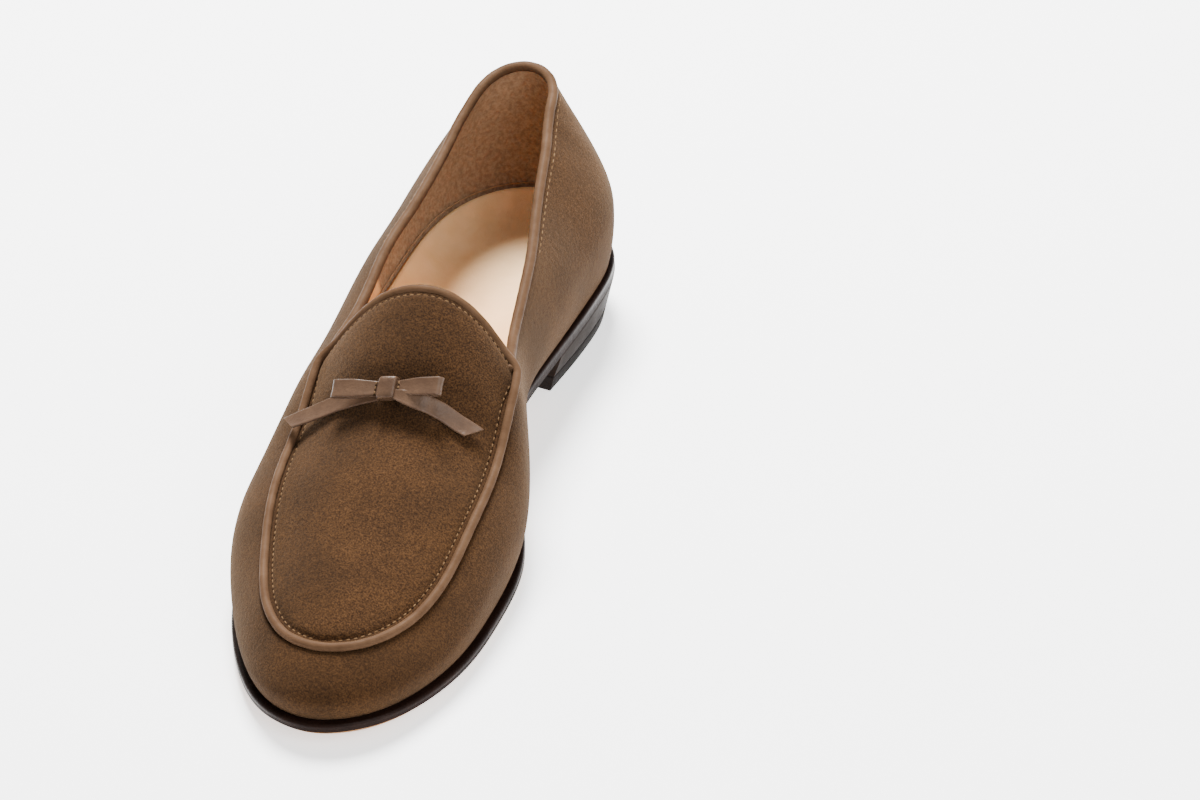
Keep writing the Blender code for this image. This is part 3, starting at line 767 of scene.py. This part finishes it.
def suede(name, dark, light, depth):
    """Brushed suede: specks of the nap over soft patches that were brushed the other way."""
    sockets = {"Roughness": 0.95, "Specular IOR Level": 0.08}
    sockets.update({"Sheen Weight": 0.10, "Sheen Roughness": 0.5})
    sockets["Sheen Tint"] = (0.80, 0.52, 0.30, 1)
    finish = Finish(name, sockets)
    specks = finish.noise(SUEDE_GRAIN, 3.0, 0.72)
    fibres = finish.noise(SUEDE_GRAIN * 0.45, 2.0, 0.6)
    tufts = finish.noise(SUEDE_GRAIN * 3.2, 3.0, 0.6)
    patches = finish.noise(SUEDE_PATCH, 2.0, 0.5)
    clouds = finish.noise(SUEDE_CLOUD, 1.0, 0.5)
    colour = finish.ramp(specks, (0.40, dark), (0.62, light))
    shades = ((tufts, 0.34, 0.86, 0.62), (patches, 0.34, 0.74, 0.64), (clouds, 0.36, 0.74, 0.62))
    for marks, low, grey, high in shades:
        shade = finish.ramp(marks, (low, grey), (high, 1.0))
        colour = finish.blend("MULTIPLY", 1.0, colour, shade)
    finish.colour(colour)
    finish.bump((tufts, depth * 2), (specks, depth), (fibres, depth * 0.4))
    return finish.made


def leather(name, dark, light, roughness, gleam=1.07, marks=0.004):
    """Smooth leather with fine pores, soft colour changes and uneven gloss."""
    finish = Finish(name, {"IOR": gleam})
    shade = finish.noise(marks, 3.0, 0.6)
    pores = finish.pores(PORE)
    creases = finish.noise(CREASE, 3.0, 0.6)
    finish.colour(finish.ramp(shade, (0.30, dark), (0.70, light)))
    finish.gloss(finish.ramp(shade, (0.25, roughness + 0.08), (0.75, roughness - 0.06)))
    finish.bump((creases, 0.00012), (pores, 0.00006))
    return finish.made


def lining_finish():
    """Suede at the back of the heel, and smooth tan leather ahead of it."""
    finish = Finish("lining", {"Specular IOR Level": 0.12, "Roughness": 0.75})
    grain = finish.noise(0.0009, 3.0, 0.7)
    shade = finish.noise(0.008, 2.0, 0.5)
    nap = finish.ramp(grain, (0.38, (0.20, 0.124, 0.070)), (0.64, (0.30, 0.200, 0.123)))
    tan = finish.ramp(shade, (0.30, (0.62, 0.34, 0.14)), (0.70, (0.74, 0.43, 0.19)))
    back = finish.along("Y", *LINING_JOIN)
    finish.colour(finish.blend("MIX", back, tan, nap))
    finish.bump((grain, 0.00012))
    return finish.made


def sock_finish():
    """Tan sock leather with painted light: greyer at the heel for the shade deep inside it, and
    warmer and darker ahead against the key light that falls there.
    """
    finish = Finish("sock leather", {"Specular IOR Level": 0.2, "Roughness": 0.5})
    shade = finish.noise(0.010, 3.0, 0.55)
    # painted light: the greyer heel tone stands for the shaded heel, and the darker warm tone ahead
    # holds back the key light on the sock
    grey = finish.ramp(shade, (0.30, (0.70, 0.46, 0.235)), (0.70, (0.80, 0.545, 0.30)))
    warm = finish.ramp(shade, (0.30, (0.70, 0.285, 0.050)), (0.70, (0.78, 0.335, 0.068)))
    finish.colour(finish.blend("MIX", finish.along("Y", *SOCK_CHANGE), warm, grey))
    finish.bump((finish.noise(0.0012, 3.0, 0.6), 0.00010), (finish.pores(PORE), 0.00005))
    return finish.made


def heel_finish():
    """Polished dark leather, of one tone from the breast round the back."""
    finish = Finish("heel leather", {"IOR": 1.06})
    shade = finish.noise(0.006, 3.0, 0.6)
    dark, light = (0.01364, 0.00961, 0.00775), (0.02232, 0.01612, 0.01333)
    finish.colour(finish.ramp(shade, (0.30, dark), (0.70, light)))
    finish.gloss(finish.ramp(shade, (0.25, 0.44), (0.75, 0.36)))
    finish.bump((finish.noise(0.0016, 3.0, 0.6), 0.00008))
    return finish.made


def read_finishes():
    """Each finish from its darkest and lightest colour, then how rough it is and how it gleams."""
    return SimpleNamespace(
        apron=suede("apron suede", (0.0155, 0.0059, 0.0017), (0.064, 0.0290, 0.0100), 0.00020),
        side=suede("side suede", (0.0180, 0.0071, 0.0021), (0.053, 0.0240, 0.0082), 0.00014),
        lining=lining_finish(),
        piping=leather("piping leather", (0.056, 0.0295, 0.0155), (0.082, 0.0455, 0.0250), 0.45),
        binding=leather("binding leather", (0.054, 0.0285, 0.0150), (0.078, 0.0435, 0.0240), 0.42),
        ribbon=leather("ribbon leather", (0.046, 0.024, 0.013), (0.078, 0.0435, 0.025), 0.38, 1.28),
        thread=leather("thread", (0.095, 0.053, 0.025), (0.150, 0.090, 0.045), 0.75, 1.1, 0.002),
        # the needle hole colour is painted shade: a dark bar stands for the shade inside each hole
        hole_shade=leather("needle hole", (0.012, 0.007, 0.004), (0.02, 0.011, 0.006), 0.9),
        sock=sock_finish(),
        seam=leather("edge line", (0.26, 0.15, 0.08), (0.34, 0.21, 0.12), 0.6),
        sole_edge=leather("sole edge", (0.007, 0.0032, 0.0022), (0.013, 0.006, 0.004), 0.32, 1.14),
        sole_under=leather("sole leather", (0.26, 0.125, 0.05), (0.36, 0.19, 0.085), 0.5),
        heel=heel_finish(),
        lift=leather("top lift", (0.012, 0.010, 0.009), (0.020, 0.017, 0.016), 0.5),
    )


def seam_distance(points, line):
    """How far each point lies from a line of points."""
    steps = np.linspace(0, 1, SEAM_SAMPLES)
    fine = np.concatenate([line[:-1] + np.diff(line, axis=0) * step for step in steps])
    tree = KDTree(len(fine))
    for index, point in enumerate(fine):
        tree.insert(point, index)
    tree.balance()
    flat = points.reshape(-1, 3)
    return np.array([tree.find(point)[2] for point in flat]).reshape(points.shape[:-1])


def relief(points, line):
    """The apron swells a little from its seam inwards, with a trench where the stitches pull."""
    away = seam_distance(points, line)
    swell = PUFF * (1 - np.exp(-away / PUFF_REACH))
    trench = TRENCH * np.exp(-(((away - TRENCH_PLACE) / TRENCH_WIDTH) ** 2))
    raised = points.copy()
    raised[..., 2] += swell - trench
    return raised


def plug_line(last):
    """The seam round the apron, closed: down one side, round the toe, back and over the tongue."""
    tongue = apron(last, last.junction, columns_across(), 1.0)
    return np.concatenate([last.lip[last.ahead], tongue])


def build_upper(last, shoe):
    trim = np.full(2 * RIBS_PER_SIDE, TOPLINE_RADIUS * BINDING_TRIM)
    trim[last.ahead] = GROOVE_WIDTH
    top = level_below_edge(last, trim * last.ramp)
    levels = [share * np.ones_like(top) for share in np.linspace(0, 1, LOWER_ROWS + 1)]
    levels += [1 + (top - 1) * share for share in np.linspace(0, 1, UPPER_ROWS + 1)[1:]]
    side = np.stack([wall(last, level) for level in levels])
    _, out_of_fold = fold_directions(last)
    bottom = last.edge - GROOVE_DEPTH * last.ramp[:, None] * out_of_fold
    groove = np.stack([side[-1], bottom, last.lip])[:, last.ahead]
    across = columns_across()[None]
    rows = np.arange(last.junction, RIBS_PER_SIDE + 1)[:, None]
    back = np.linspace(1, 0, TONGUE_ROWS + 1)[:, None]
    line = plug_line(last)
    crown = relief(apron(last, rows, across), line)
    tongue = relief(apron(last, last.junction, across, back), line)
    grids = [(side, True, 0), (groove, False, 0), (crown, False, 1), (tongue, False, 1)]
    middle = (0, -LAST_LENGTH / 2, SOLE_THICKNESS + BULGE_HEIGHT)
    mesh = sewn_mesh("suede_upper", grids, middle)
    finishes = (shoe.finish.side, shoe.finish.apron, shoe.finish.lining, shoe.finish.lining)
    piece = add_piece(shoe, mesh, finishes, ("upper",), sharp=50)
    thicken(piece, UPPER_WALL * SHELL_SHARE, -1, lining=2)


def build_insole(last, shoe):
    curl = INSOLE_CURL * CURL.read("edge", last.station)
    edge = inside_wall(last, curl / last.bulge_height, UPPER_WALL)
    rise = edge[:, 2] - on_sole(edge, GAP)[:, 2]
    rings = []
    for share in np.linspace(1.0, INSOLE_MIDDLE, INSOLE_RINGS):
        flat = last.spine + share * (edge[:, :2] - last.spine)
        ring = on_sole(np.column_stack([flat, rise]), GAP)
        curled = (share - INSOLE_MIDDLE) / (1 - INSOLE_MIDDLE)
        ring[:, 2] += rise * curled**CURL_POWER
        rings.append(ring)
    middle = on_sole(ladder(rings[-1], PLATE_COLUMNS), GAP)
    rings = np.stack(rings)
    grids = [(rings, True, 0), (middle, False, 0)]
    mesh = sewn_mesh("sock", grids, (0, -LAST_LENGTH / 2, -1))
    piece = add_piece(shoe, mesh, (shoe.finish.sock,), ("insole",))
    thicken(piece, INSOLE_THICKNESS, 1)
    lip = rings[0] + (0, 0, INSOLE_THICKNESS)
    add_tube(shoe, "sock_edge", lip, SOCK_EDGE_RADIUS, True, shoe.finish.seam)


def build_outsole(last, shoe):
    """The sole from its rounded top edge down the side and in along the bevel, which is tan with
    the underside ahead of the heel."""
    rings = []
    for angle in np.linspace(0, np.pi / 2, BEAD_STEPS + 1):
        margin = last.margin - SOLE_BEAD * (1 - np.sin(angle))
        rings.append(plate_ring(last, margin, -SOLE_BEAD * (1 - np.cos(angle))))
    for share in np.linspace(0, 1, EDGE_STEPS + 1)[1:]:
        lift = -SOLE_BEAD + (last.bevel - SOLE_THICKNESS + SOLE_BEAD) * share
        waist = WAIST_DEPTH * math.sin(math.pi * share)
        rings.append(plate_ring(last, last.margin - waist, lift))
    dark = len(rings)
    for share in np.linspace(0, 1, BEVEL_STEPS + 1)[1:]:
        lift = (last.bevel - SOLE_THICKNESS) * (1 - share) - SOLE_THICKNESS * share
        rings.append(plate_ring(last, last.margin - last.bevel * share, lift))
    rings = np.stack(rings)
    grids = [
        (on_sole(ladder(rings[0], PLATE_COLUMNS), 0), False, 0),
        (rings[:dark], True, 0),
        (rings[dark - 1 :], True, 1),
        (on_sole(ladder(rings[-1], PLATE_COLUMNS), -SOLE_THICKNESS), False, 1),
    ]
    mesh = sewn_mesh("sole", grids, (0, -LAST_LENGTH / 2, SOLE_THICKNESS / 2))
    for face in mesh.polygons:
        if face.center.y > -HEEL_LENGTH - SOLE_BEVEL:
            face.material_index = 0
    finishes = (shoe.finish.sole_edge, shoe.finish.sole_under)
    add_piece(shoe, mesh, finishes, ("outsole",), sharp=40)


def build_heel(last, shoe):
    stack_top = on_sole(heel_rows(last, HEEL_RISE), -SOLE_THICKNESS - GAP / 2)
    stack_foot = heel_rows(last, LIFT_THICKNESS + GAP)
    lift_top = heel_rows(last, LIFT_THICKNESS)
    lift_foot = heel_rows(last, 0.0)
    pairs = (
        ("heel", stack_top, stack_foot, shoe.finish.heel, "heel_leather", "heel_stack"),
        ("top_lift", lift_top, lift_foot, shoe.finish.lift, "top_lift", "heel_top_lift"),
    )
    for name, top, foot, finish, slot, node in pairs:
        centre = (top.mean(axis=(0, 1)) + foot.mean(axis=(0, 1))) / 2
        upper_ring, lower_ring = ring_round(top), ring_round(foot)
        walls = []
        for place, inset in HEEL_EDGES:
            ring = upper_ring + (lower_ring - upper_ring) * place
            inward = unit(centre[:2] - ring[:, :2]) * (HEEL_ROUNDING * inset)
            walls.append(ring + np.column_stack([inward, np.zeros(len(ring))]))
        walls = np.stack(walls)
        shape = bmesh.new()
        add_grid(shape, walls, True)
        for ring in (walls[0], walls[-1]):
            shape.faces.new([shape.verts.new(point) for point in ring])
        bmesh.ops.remove_doubles(shape, verts=shape.verts, dist=WELD)
        bmesh.ops.recalc_face_normals(shape, faces=shape.faces)
        add_piece(shoe, mesh_from(name, shape), (finish,), (node,), sharp=40)


def tube_rings(centres, radius, closed, sides_round=TUBE_SIDES, up=(0, 0, 1)):
    """Rings of points round a line that never runs along the given way up."""
    if closed:
        travel = unit(np.roll(centres, -1, 0) - np.roll(centres, 1, 0))
    else:
        travel = unit(np.gradient(centres, axis=0))
    up = np.broadcast_to(np.asarray(up, float), centres.shape)
    side = unit(np.cross(travel, up))
    lift = np.cross(side, travel)
    angle = np.linspace(0, 2 * np.pi, sides_round, endpoint=False)
    reach = np.reshape(radius, (-1, 1, 1))
    ring = side[:, None] * np.cos(angle)[:, None] + lift[:, None] * np.sin(angle)[:, None]
    return centres[:, None] + ring * reach


def add_tube(shoe, name, centres, radius, closed, finish, nodes=()):
    rings = tube_rings(centres, radius, closed)
    rings = np.concatenate([rings, rings[:1]]) if closed else capped(rings, centres[[0, -1]])
    add_piece(shoe, sewn_mesh(name, [(rings, True, 0)]), (finish,), nodes)


def capped(rings, ends):
    """Rings with a fan to a point at each end."""
    first, final = (np.repeat(end[None, None], rings.shape[1], axis=1) for end in ends)
    return np.concatenate([first, rings, final])


def build_pipings(last, shoe):
    up_wall, out_of_fold = fold_directions(last)
    clear = APRON_PIPING_RADIUS + GAP
    lean = math.cos(math.atan2(GROOVE_DEPTH, GROOVE_WIDTH))
    lift = clear / lean - GROOVE_DEPTH * last.ramp - PIPING_SINK
    plug = (last.edge + out_of_fold * lift[:, None])[last.ahead]
    across = columns_across()[SKIPPED_COLUMNS:-SKIPPED_COLUMNS]
    end, normal, off = tongue_frame(last, across)
    column = np.arange(SKIPPED_COLUMNS, APRON_COLUMNS + 1 - SKIPPED_COLUMNS)
    turn = ease(np.minimum(column, APRON_COLUMNS - column) / TURN_COLUMNS)[:, None]
    away = (clear - TONGUE_SINK) * (turn + (1 - turn) / lean)
    tongue = end + unit(normal * (1 - turn) + off * turn) * away
    tongue = tongue - normal * UPPER_WALL / 2 * turn**2
    path = evened(np.concatenate([plug, tongue]), CORD_STEP, True, passes=8)
    radius = (APRON_PIPING_RADIUS - PIPING_INSET) * rippled(len(path), *PIPING_RIPPLE)
    add_tube(shoe, "piping", path, radius, True, shoe.finish.piping, ("apron_piping",))

    behind = np.arange(-last.junction, last.junction + 1)
    rim = wall(last, level_below_edge(last, (TOPLINE_RADIUS + GAP) * last.ramp))
    travel = np.roll(rim, -1, 0) - np.roll(rim, 1, 0)
    out_of_wall = unit(np.cross(up_wall, travel))
    seat = rim + up_wall * (TOPLINE_RADIUS + GAP / 2) - out_of_wall * UPPER_WALL / 2
    path = evened(seat[behind], CORD_STEP, False, passes=10)
    radius = (TOPLINE_RADIUS + BINDING_SWELL) * rippled(len(path), *BINDING_RIPPLE)
    add_tube(shoe, "binding", path, radius, False, shoe.finish.binding, ("topline_piping",))
    shoe.topline = rim[behind], out_of_wall[behind], up_wall[behind]


def rippled(count, depth, turn):
    """Shares of a radius that swell and shrink a little along a rolled strip."""
    return 1 + depth * np.sin(np.arange(count) * turn)


def evened(line, step, closed, passes=3):
    """The same line, cut into even steps and smoothed over this many passes."""
    if closed:
        line = np.concatenate([line, line[:1]])
    run = distances(line)
    count = int(round(run[-1] / step))
    even = sample(np.linspace(0, run[-1], count + 1), run, line)
    for _ in range(passes):
        even[1:-1] = (even[:-2] + 2 * even[1:-1] + even[2:]) / 4
    return even[:-1] if closed else even


def capsule(shape, centre, along, size, slot):
    """One stitch: a short rounded bar."""
    reach, radius = size
    along = along / np.linalg.norm(along)
    centres = centre + np.outer(STITCH_ENDS, along) * reach / 2
    rings = tube_rings(centres, STITCH_GIRTH * radius, False, STITCH_SIDES, STITCH_UP)
    add_grid(shape, rings, True, slot)


def add_stitches(shoe, name, line, out, pitch, size, holes=True):
    """Stitches along a line that lies on a surface whose way out is given at each point."""
    run = distances(line)
    count = int(run[-1] / pitch)
    at = (np.arange(count) + 0.5) * run[-1] / count
    shape = bmesh.new()
    for middle in at:
        spots = [middle, middle - size[0] / 2, middle + size[0] / 2, middle + pitch / 2]
        centre, before, after, gap = sample(spots, run, line)
        lift = sample(middle, run, out)
        capsule(shape, centre - lift * STITCH_SINK, after - before, size, 0)
        # a dark bar between stitches, painted shade for the needle hole
        if holes:
            capsule(shape, gap - lift * HOLE[1] * HOLE_SINK, after - before, HOLE, 1)
    bmesh.ops.recalc_face_normals(shape, faces=shape.faces)
    add_piece(shoe, mesh_from(name, shape), (shoe.finish.thread, shoe.finish.hole_shade))


def build_stitches(last, shoe):
    """Round the apron inside its piping, and along the collar under its binding."""
    line = plug_line(last)
    rows = np.arange(last.junction, RIBS_PER_SIDE + 1)
    half = length(last.lip[rows] - last.lip[-rows]) / 2
    across = 1 - np.minimum(TRENCH_PLACE / np.maximum(half, 1e-4), 0.99)
    kept = slice(2, int(SIDE_STITCHED * (RIBS_PER_SIDE - last.junction)))
    near, far = (relief(apron(last, rows, side * across), line)[kept] for side in (1, -1))
    loop = [near, toe_arc(last, near[-1, 1]), far[::-1], tongue_arc(last, line)]
    loop = evened(np.concatenate(loop), STITCH_STEP, False)
    out = np.tile((0.0, 0.0, 1.0), (len(loop), 1))
    add_stitches(shoe, "apron_stitches", loop, out, APRON_PITCH, APRON_STITCH)

    rim, outward, up = shoe.topline
    part = np.abs(np.linspace(-1, 1, len(rim))) < COLLAR_STITCHED
    lowered = (rim - up * (TOPLINE_DROP - TOPLINE_RADIUS - GAP))[part]
    ring = evened(lowered, STITCH_STEP, False)
    out = sample(np.linspace(0, 1, len(ring)), np.linspace(0, 1, part.sum()), outward[part])
    add_stitches(shoe, "collar_stitches", ring, out, TOPLINE_PITCH, TOPLINE_STITCH, False)


def toe_arc(last, start):
    """The stitch line round the toe of the apron, inside the seam, ahead of the start."""
    ribs = np.arange(2 * RIBS_PER_SIDE)
    lip = last.lip
    travel = unit(np.roll(lip, -1, 0) - np.roll(lip, 1, 0))
    inward = unit(np.cross(travel, (0, 0, 1.0)))
    line = lip + inward * TRENCH_PLACE
    arc = line[(line[:, 1] < start) & (np.abs(ribs - RIBS_PER_SIDE) < TOE_RIBS)]
    arc[:, 2] += TOE_LIFT
    return arc


def tongue_arc(last, line):
    """The stitch line along the tongue's end, from the outer side to the inner side."""
    across = np.linspace(-TONGUE_STITCHED, TONGUE_STITCHED, TONGUE_POINTS)
    reach = TONGUE_REACH * np.sqrt(1 - across**2)
    depth = 1 - TRENCH_PLACE / np.maximum(reach, TONGUE_LEAST)
    return relief(apron(last, last.junction, across, np.clip(depth, 0, 1)), line)


def apron_frame(last, station, across):
    """Points on the apron, and there the ways towards the toe, to the inner side and out."""
    row = row_at(last, station)
    toe = unit(apron(last, row + FINER, across) - apron(last, row - FINER, across))
    inner = apron(last, row, across + ACROSS_STEP) - apron(last, row, across - ACROSS_STEP)
    inner = unit(inner)
    return apron(last, row, across), toe, inner, unit(np.cross(toe, inner))


def squared(wave, power):
    """A wave from -1 to 1 with flatter tops, the smaller the power."""
    return np.sign(wave) * np.abs(wave) ** power


def add_ribbon(shoe, node, centres, toe, cut, width):
    """A flat ribbon with rolled edges and fine cross wrinkles, its end cut on the slant."""
    along = unit(np.gradient(centres, axis=0))
    wide = unit(toe - along * np.sum(toe * along, axis=1, keepdims=True))
    out = np.cross(wide, along)
    run = distances(centres)
    wrinkle = WRINKLE * np.sin(2 * np.pi * run / WRINKLE_PITCH) * np.exp(-run / WRINKLE_REACH)
    centres = centres + out * wrinkle[:, None]
    angle = np.linspace(0, 2 * np.pi, RIBBON_SIDES, endpoint=False)
    across = squared(np.cos(angle), RIBBON_SQUARENESS[0])
    thick = squared(np.sin(angle), RIBBON_SQUARENESS[1])
    thick = thick * (RIBBON_MIDDLE + RIBBON_ROLL * np.abs(across) ** 3)
    reach = np.reshape(width, (-1, 1)) * across * RIBBON_WIDTH / 2
    rings = centres[:, None] + wide[:, None] * reach[..., None]
    rings = rings + out[:, None] * (thick * RIBBON_THICKNESS / 2)[:, None]
    slant = ease((run / run[-1] - SLANT_START) / (1 - SLANT_START))[:, None, None]
    rings = rings - along[:, None] * slant * (across * cut / 2)[:, None]
    rings = capped(rings, rings[[0, -1]].mean(axis=1))
    mesh = sewn_mesh(node.replace("bow_", ""), [(rings, True, 0)])
    add_piece(shoe, mesh, (shoe.finish.ribbon,), (node,), sharp=60)


def add_knot(shoe, centre, ways, height):
    """The band round the bow: a rounded block, a little waisted, stitched along both sides."""
    inner, toe, out = ways
    lift = np.linspace(-np.pi / 2, np.pi / 2, KNOT_RINGS)[:, None]
    turn = np.linspace(0, 2 * np.pi, KNOT_SIDES, endpoint=False)[None]
    reach = squared(np.cos(lift), KNOT_SQUARENESS)
    across = reach * squared(np.cos(turn), KNOT_SQUARENESS)
    ahead = reach * squared(np.sin(turn), KNOT_SQUARENESS)
    up = squared(np.sin(lift), KNOT_SQUARENESS) * np.ones_like(turn)
    across = across * (1 - KNOT_WAIST * (1 - ahead**2))
    up = up * (1 - KNOT_DOME * across**2)
    points = centre + (across * KNOT_WIDTH / 2)[..., None] * inner
    points = points + (ahead * KNOT_LENGTH / 2)[..., None] * toe + (up * height / 2)[..., None] * out
    mesh = sewn_mesh("knot", [(points, True, 0)], centre)
    add_piece(shoe, mesh, (shoe.finish.ribbon,), ("bow_knot",))
    beside, above, reach = KNOT_STITCH_LINE
    along = np.linspace(-reach, reach, KNOT_LINE_POINTS) * KNOT_LENGTH / 2
    ways_out = np.tile(out, (KNOT_LINE_POINTS, 1))
    for name, side in (("medial", 1), ("lateral", -1)):
        edge = centre + side * (KNOT_WIDTH / 2 + beside) * inner + out * height * above
        name = "knot_stitches_" + name
        line = edge + np.outer(along, toe)
        add_stitches(shoe, name, line, ways_out, KNOT_PITCH, KNOT_STITCH)


def build_bow(last, shoe):
    centre, toe, inner, out = apron_frame(last, BOW_STATION, BOW_ACROSS)
    tail_rest = BOW_SEAT + RIBBON_THICKNESS / 2
    loop_rest = tail_rest + GAP + RIBBON_THICKNESS
    knot_height = loop_rest + LOOP_HEIGHT - RIBBON_THICKNESS / 2 - BOW_SEAT
    add_knot(shoe, centre + out * (BOW_SEAT + knot_height / 2), (inner, toe, out), knot_height)

    start = KNOT_WIDTH / 2 - KNOT_OVERLAP
    bend = (LOOP_HEIGHT - RIBBON_THICKNESS) / 2
    out_run = np.linspace(start, LOOP_LENGTH - bend - RIBBON_THICKNESS / 2, 2 * LOOP_STEPS)
    angle = np.linspace(-np.pi / 2, np.pi / 2, LOOP_STEPS)[1:-1]
    reach = np.concatenate([out_run, out_run[-1] + bend * np.cos(angle), out_run[::-1]])
    share = (np.minimum(reach, out_run[-1]) - start) / (out_run[-1] - start)
    rise = np.repeat([0.0, 2 * bend], 2 * LOOP_STEPS)
    rise = np.insert(rise, 2 * LOOP_STEPS, bend + bend * np.sin(angle))
    rise = loop_rest + rise * LOOP.read("rise", share)
    for name, side in (("bow_loop_medial", 1), ("bow_loop_lateral", -1)):
        centres = centre + np.outer(side * reach, inner) + np.outer(rise, out)
        toes = np.tile(toe, (len(centres), 1))
        add_ribbon(shoe, name, centres, toes, 0.0, LOOP.read("width", share))

    for name, route in (("bow_tail_medial", MEDIAL_TAIL), ("bow_tail_lateral", LATERAL_TAIL)):
        share = np.linspace(0, 1, TAIL_STEPS + 1)
        station = BOW_STATION + route.read("ahead", share) * KNOT_LENGTH / LAST_LENGTH
        points, toes, _, outs = apron_frame(last, station, route.read("across", share))
        points = points + outs * (tail_rest + route.read("off", share) * TAIL_LIFT)[:, None]
        add_ribbon(shoe, name, points, toes, TAIL_CUT, route.read("width", share))


def centring(last):
    """From the last's own place to the frame, by the box of the outsole."""
    ring = plate_ring(last, last.margin, 0)
    raw = (ring.min(axis=0) + ring.max(axis=0)) / 2
    low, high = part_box("outsole")
    return ((low[0] + high[0]) / 2 - raw[0], (low[1] + high[1]) / 2 - raw[1], 0.0)


def add_floor():
    mesh = bpy.data.meshes.new("floor")
    corners = ((-1, -1, 0), (1, -1, 0), (1, 1, 0), (-1, 1, 0))
    mesh.from_pydata(np.array(corners) * FLOOR_REACH, [], [(0, 1, 2, 3)])
    sockets = {"Base Color": (0.9, 0.9, 0.9, 1), "Roughness": 0.9}
    sockets.update({"Emission Color": (1, 1, 1, 1), "Emission Strength": FLOOR_GLOW})
    mesh.materials.append(Finish("white floor", sockets).made)
    add_object("floor", mesh)


def add_light(name, place, size, power):
    """A round white lamp that faces the shoe."""
    data = bpy.data.lights.new(name, "AREA")
    data.shape = "DISK"
    data.size = size
    data.energy = power
    light = add_object(name, data)
    light.location = place
    light.rotation_euler = (-Vector(place)).to_track_quat("-Z", "Y").to_euler()


def add_studio(shift):
    world = bpy.data.worlds.new("studio")
    world.use_nodes = True
    background = world.node_tree.nodes["Background"]
    background.inputs["Color"].default_value = (1, 1, 1, 1)
    background.inputs["Strength"].default_value = SKY
    bpy.context.scene.world = world
    add_light("key", *KEY_LIGHT)
    add_light("front", *FRONT_LIGHT)
    data = bpy.data.cameras.new("camera")
    data.lens = CAMERA_LENS
    data.sensor_width = SENSOR_WIDTH
    data.clip_start = 0.01
    camera = add_object("camera", data)
    right, down, forward = (Vector(way) for way in (CAMERA_RIGHT, CAMERA_DOWN, CAMERA_FORWARD))
    turn = Matrix((right, -down, -forward)).transposed()
    camera.matrix_world = Matrix.Translation(Vector(CAMERA_PLACE) + Vector(shift)) @ turn.to_4x4()
    bpy.context.scene.camera = camera


last = read_last()
shift = centring(last)
shoe = SimpleNamespace(finish=read_finishes(), shift=Matrix.Translation(shift))
build_outsole(last, shoe)
build_heel(last, shoe)
build_upper(last, shoe)
build_insole(last, shoe)
build_pipings(last, shoe)
build_stitches(last, shoe)
build_bow(last, shoe)
add_floor()
add_studio(shift)
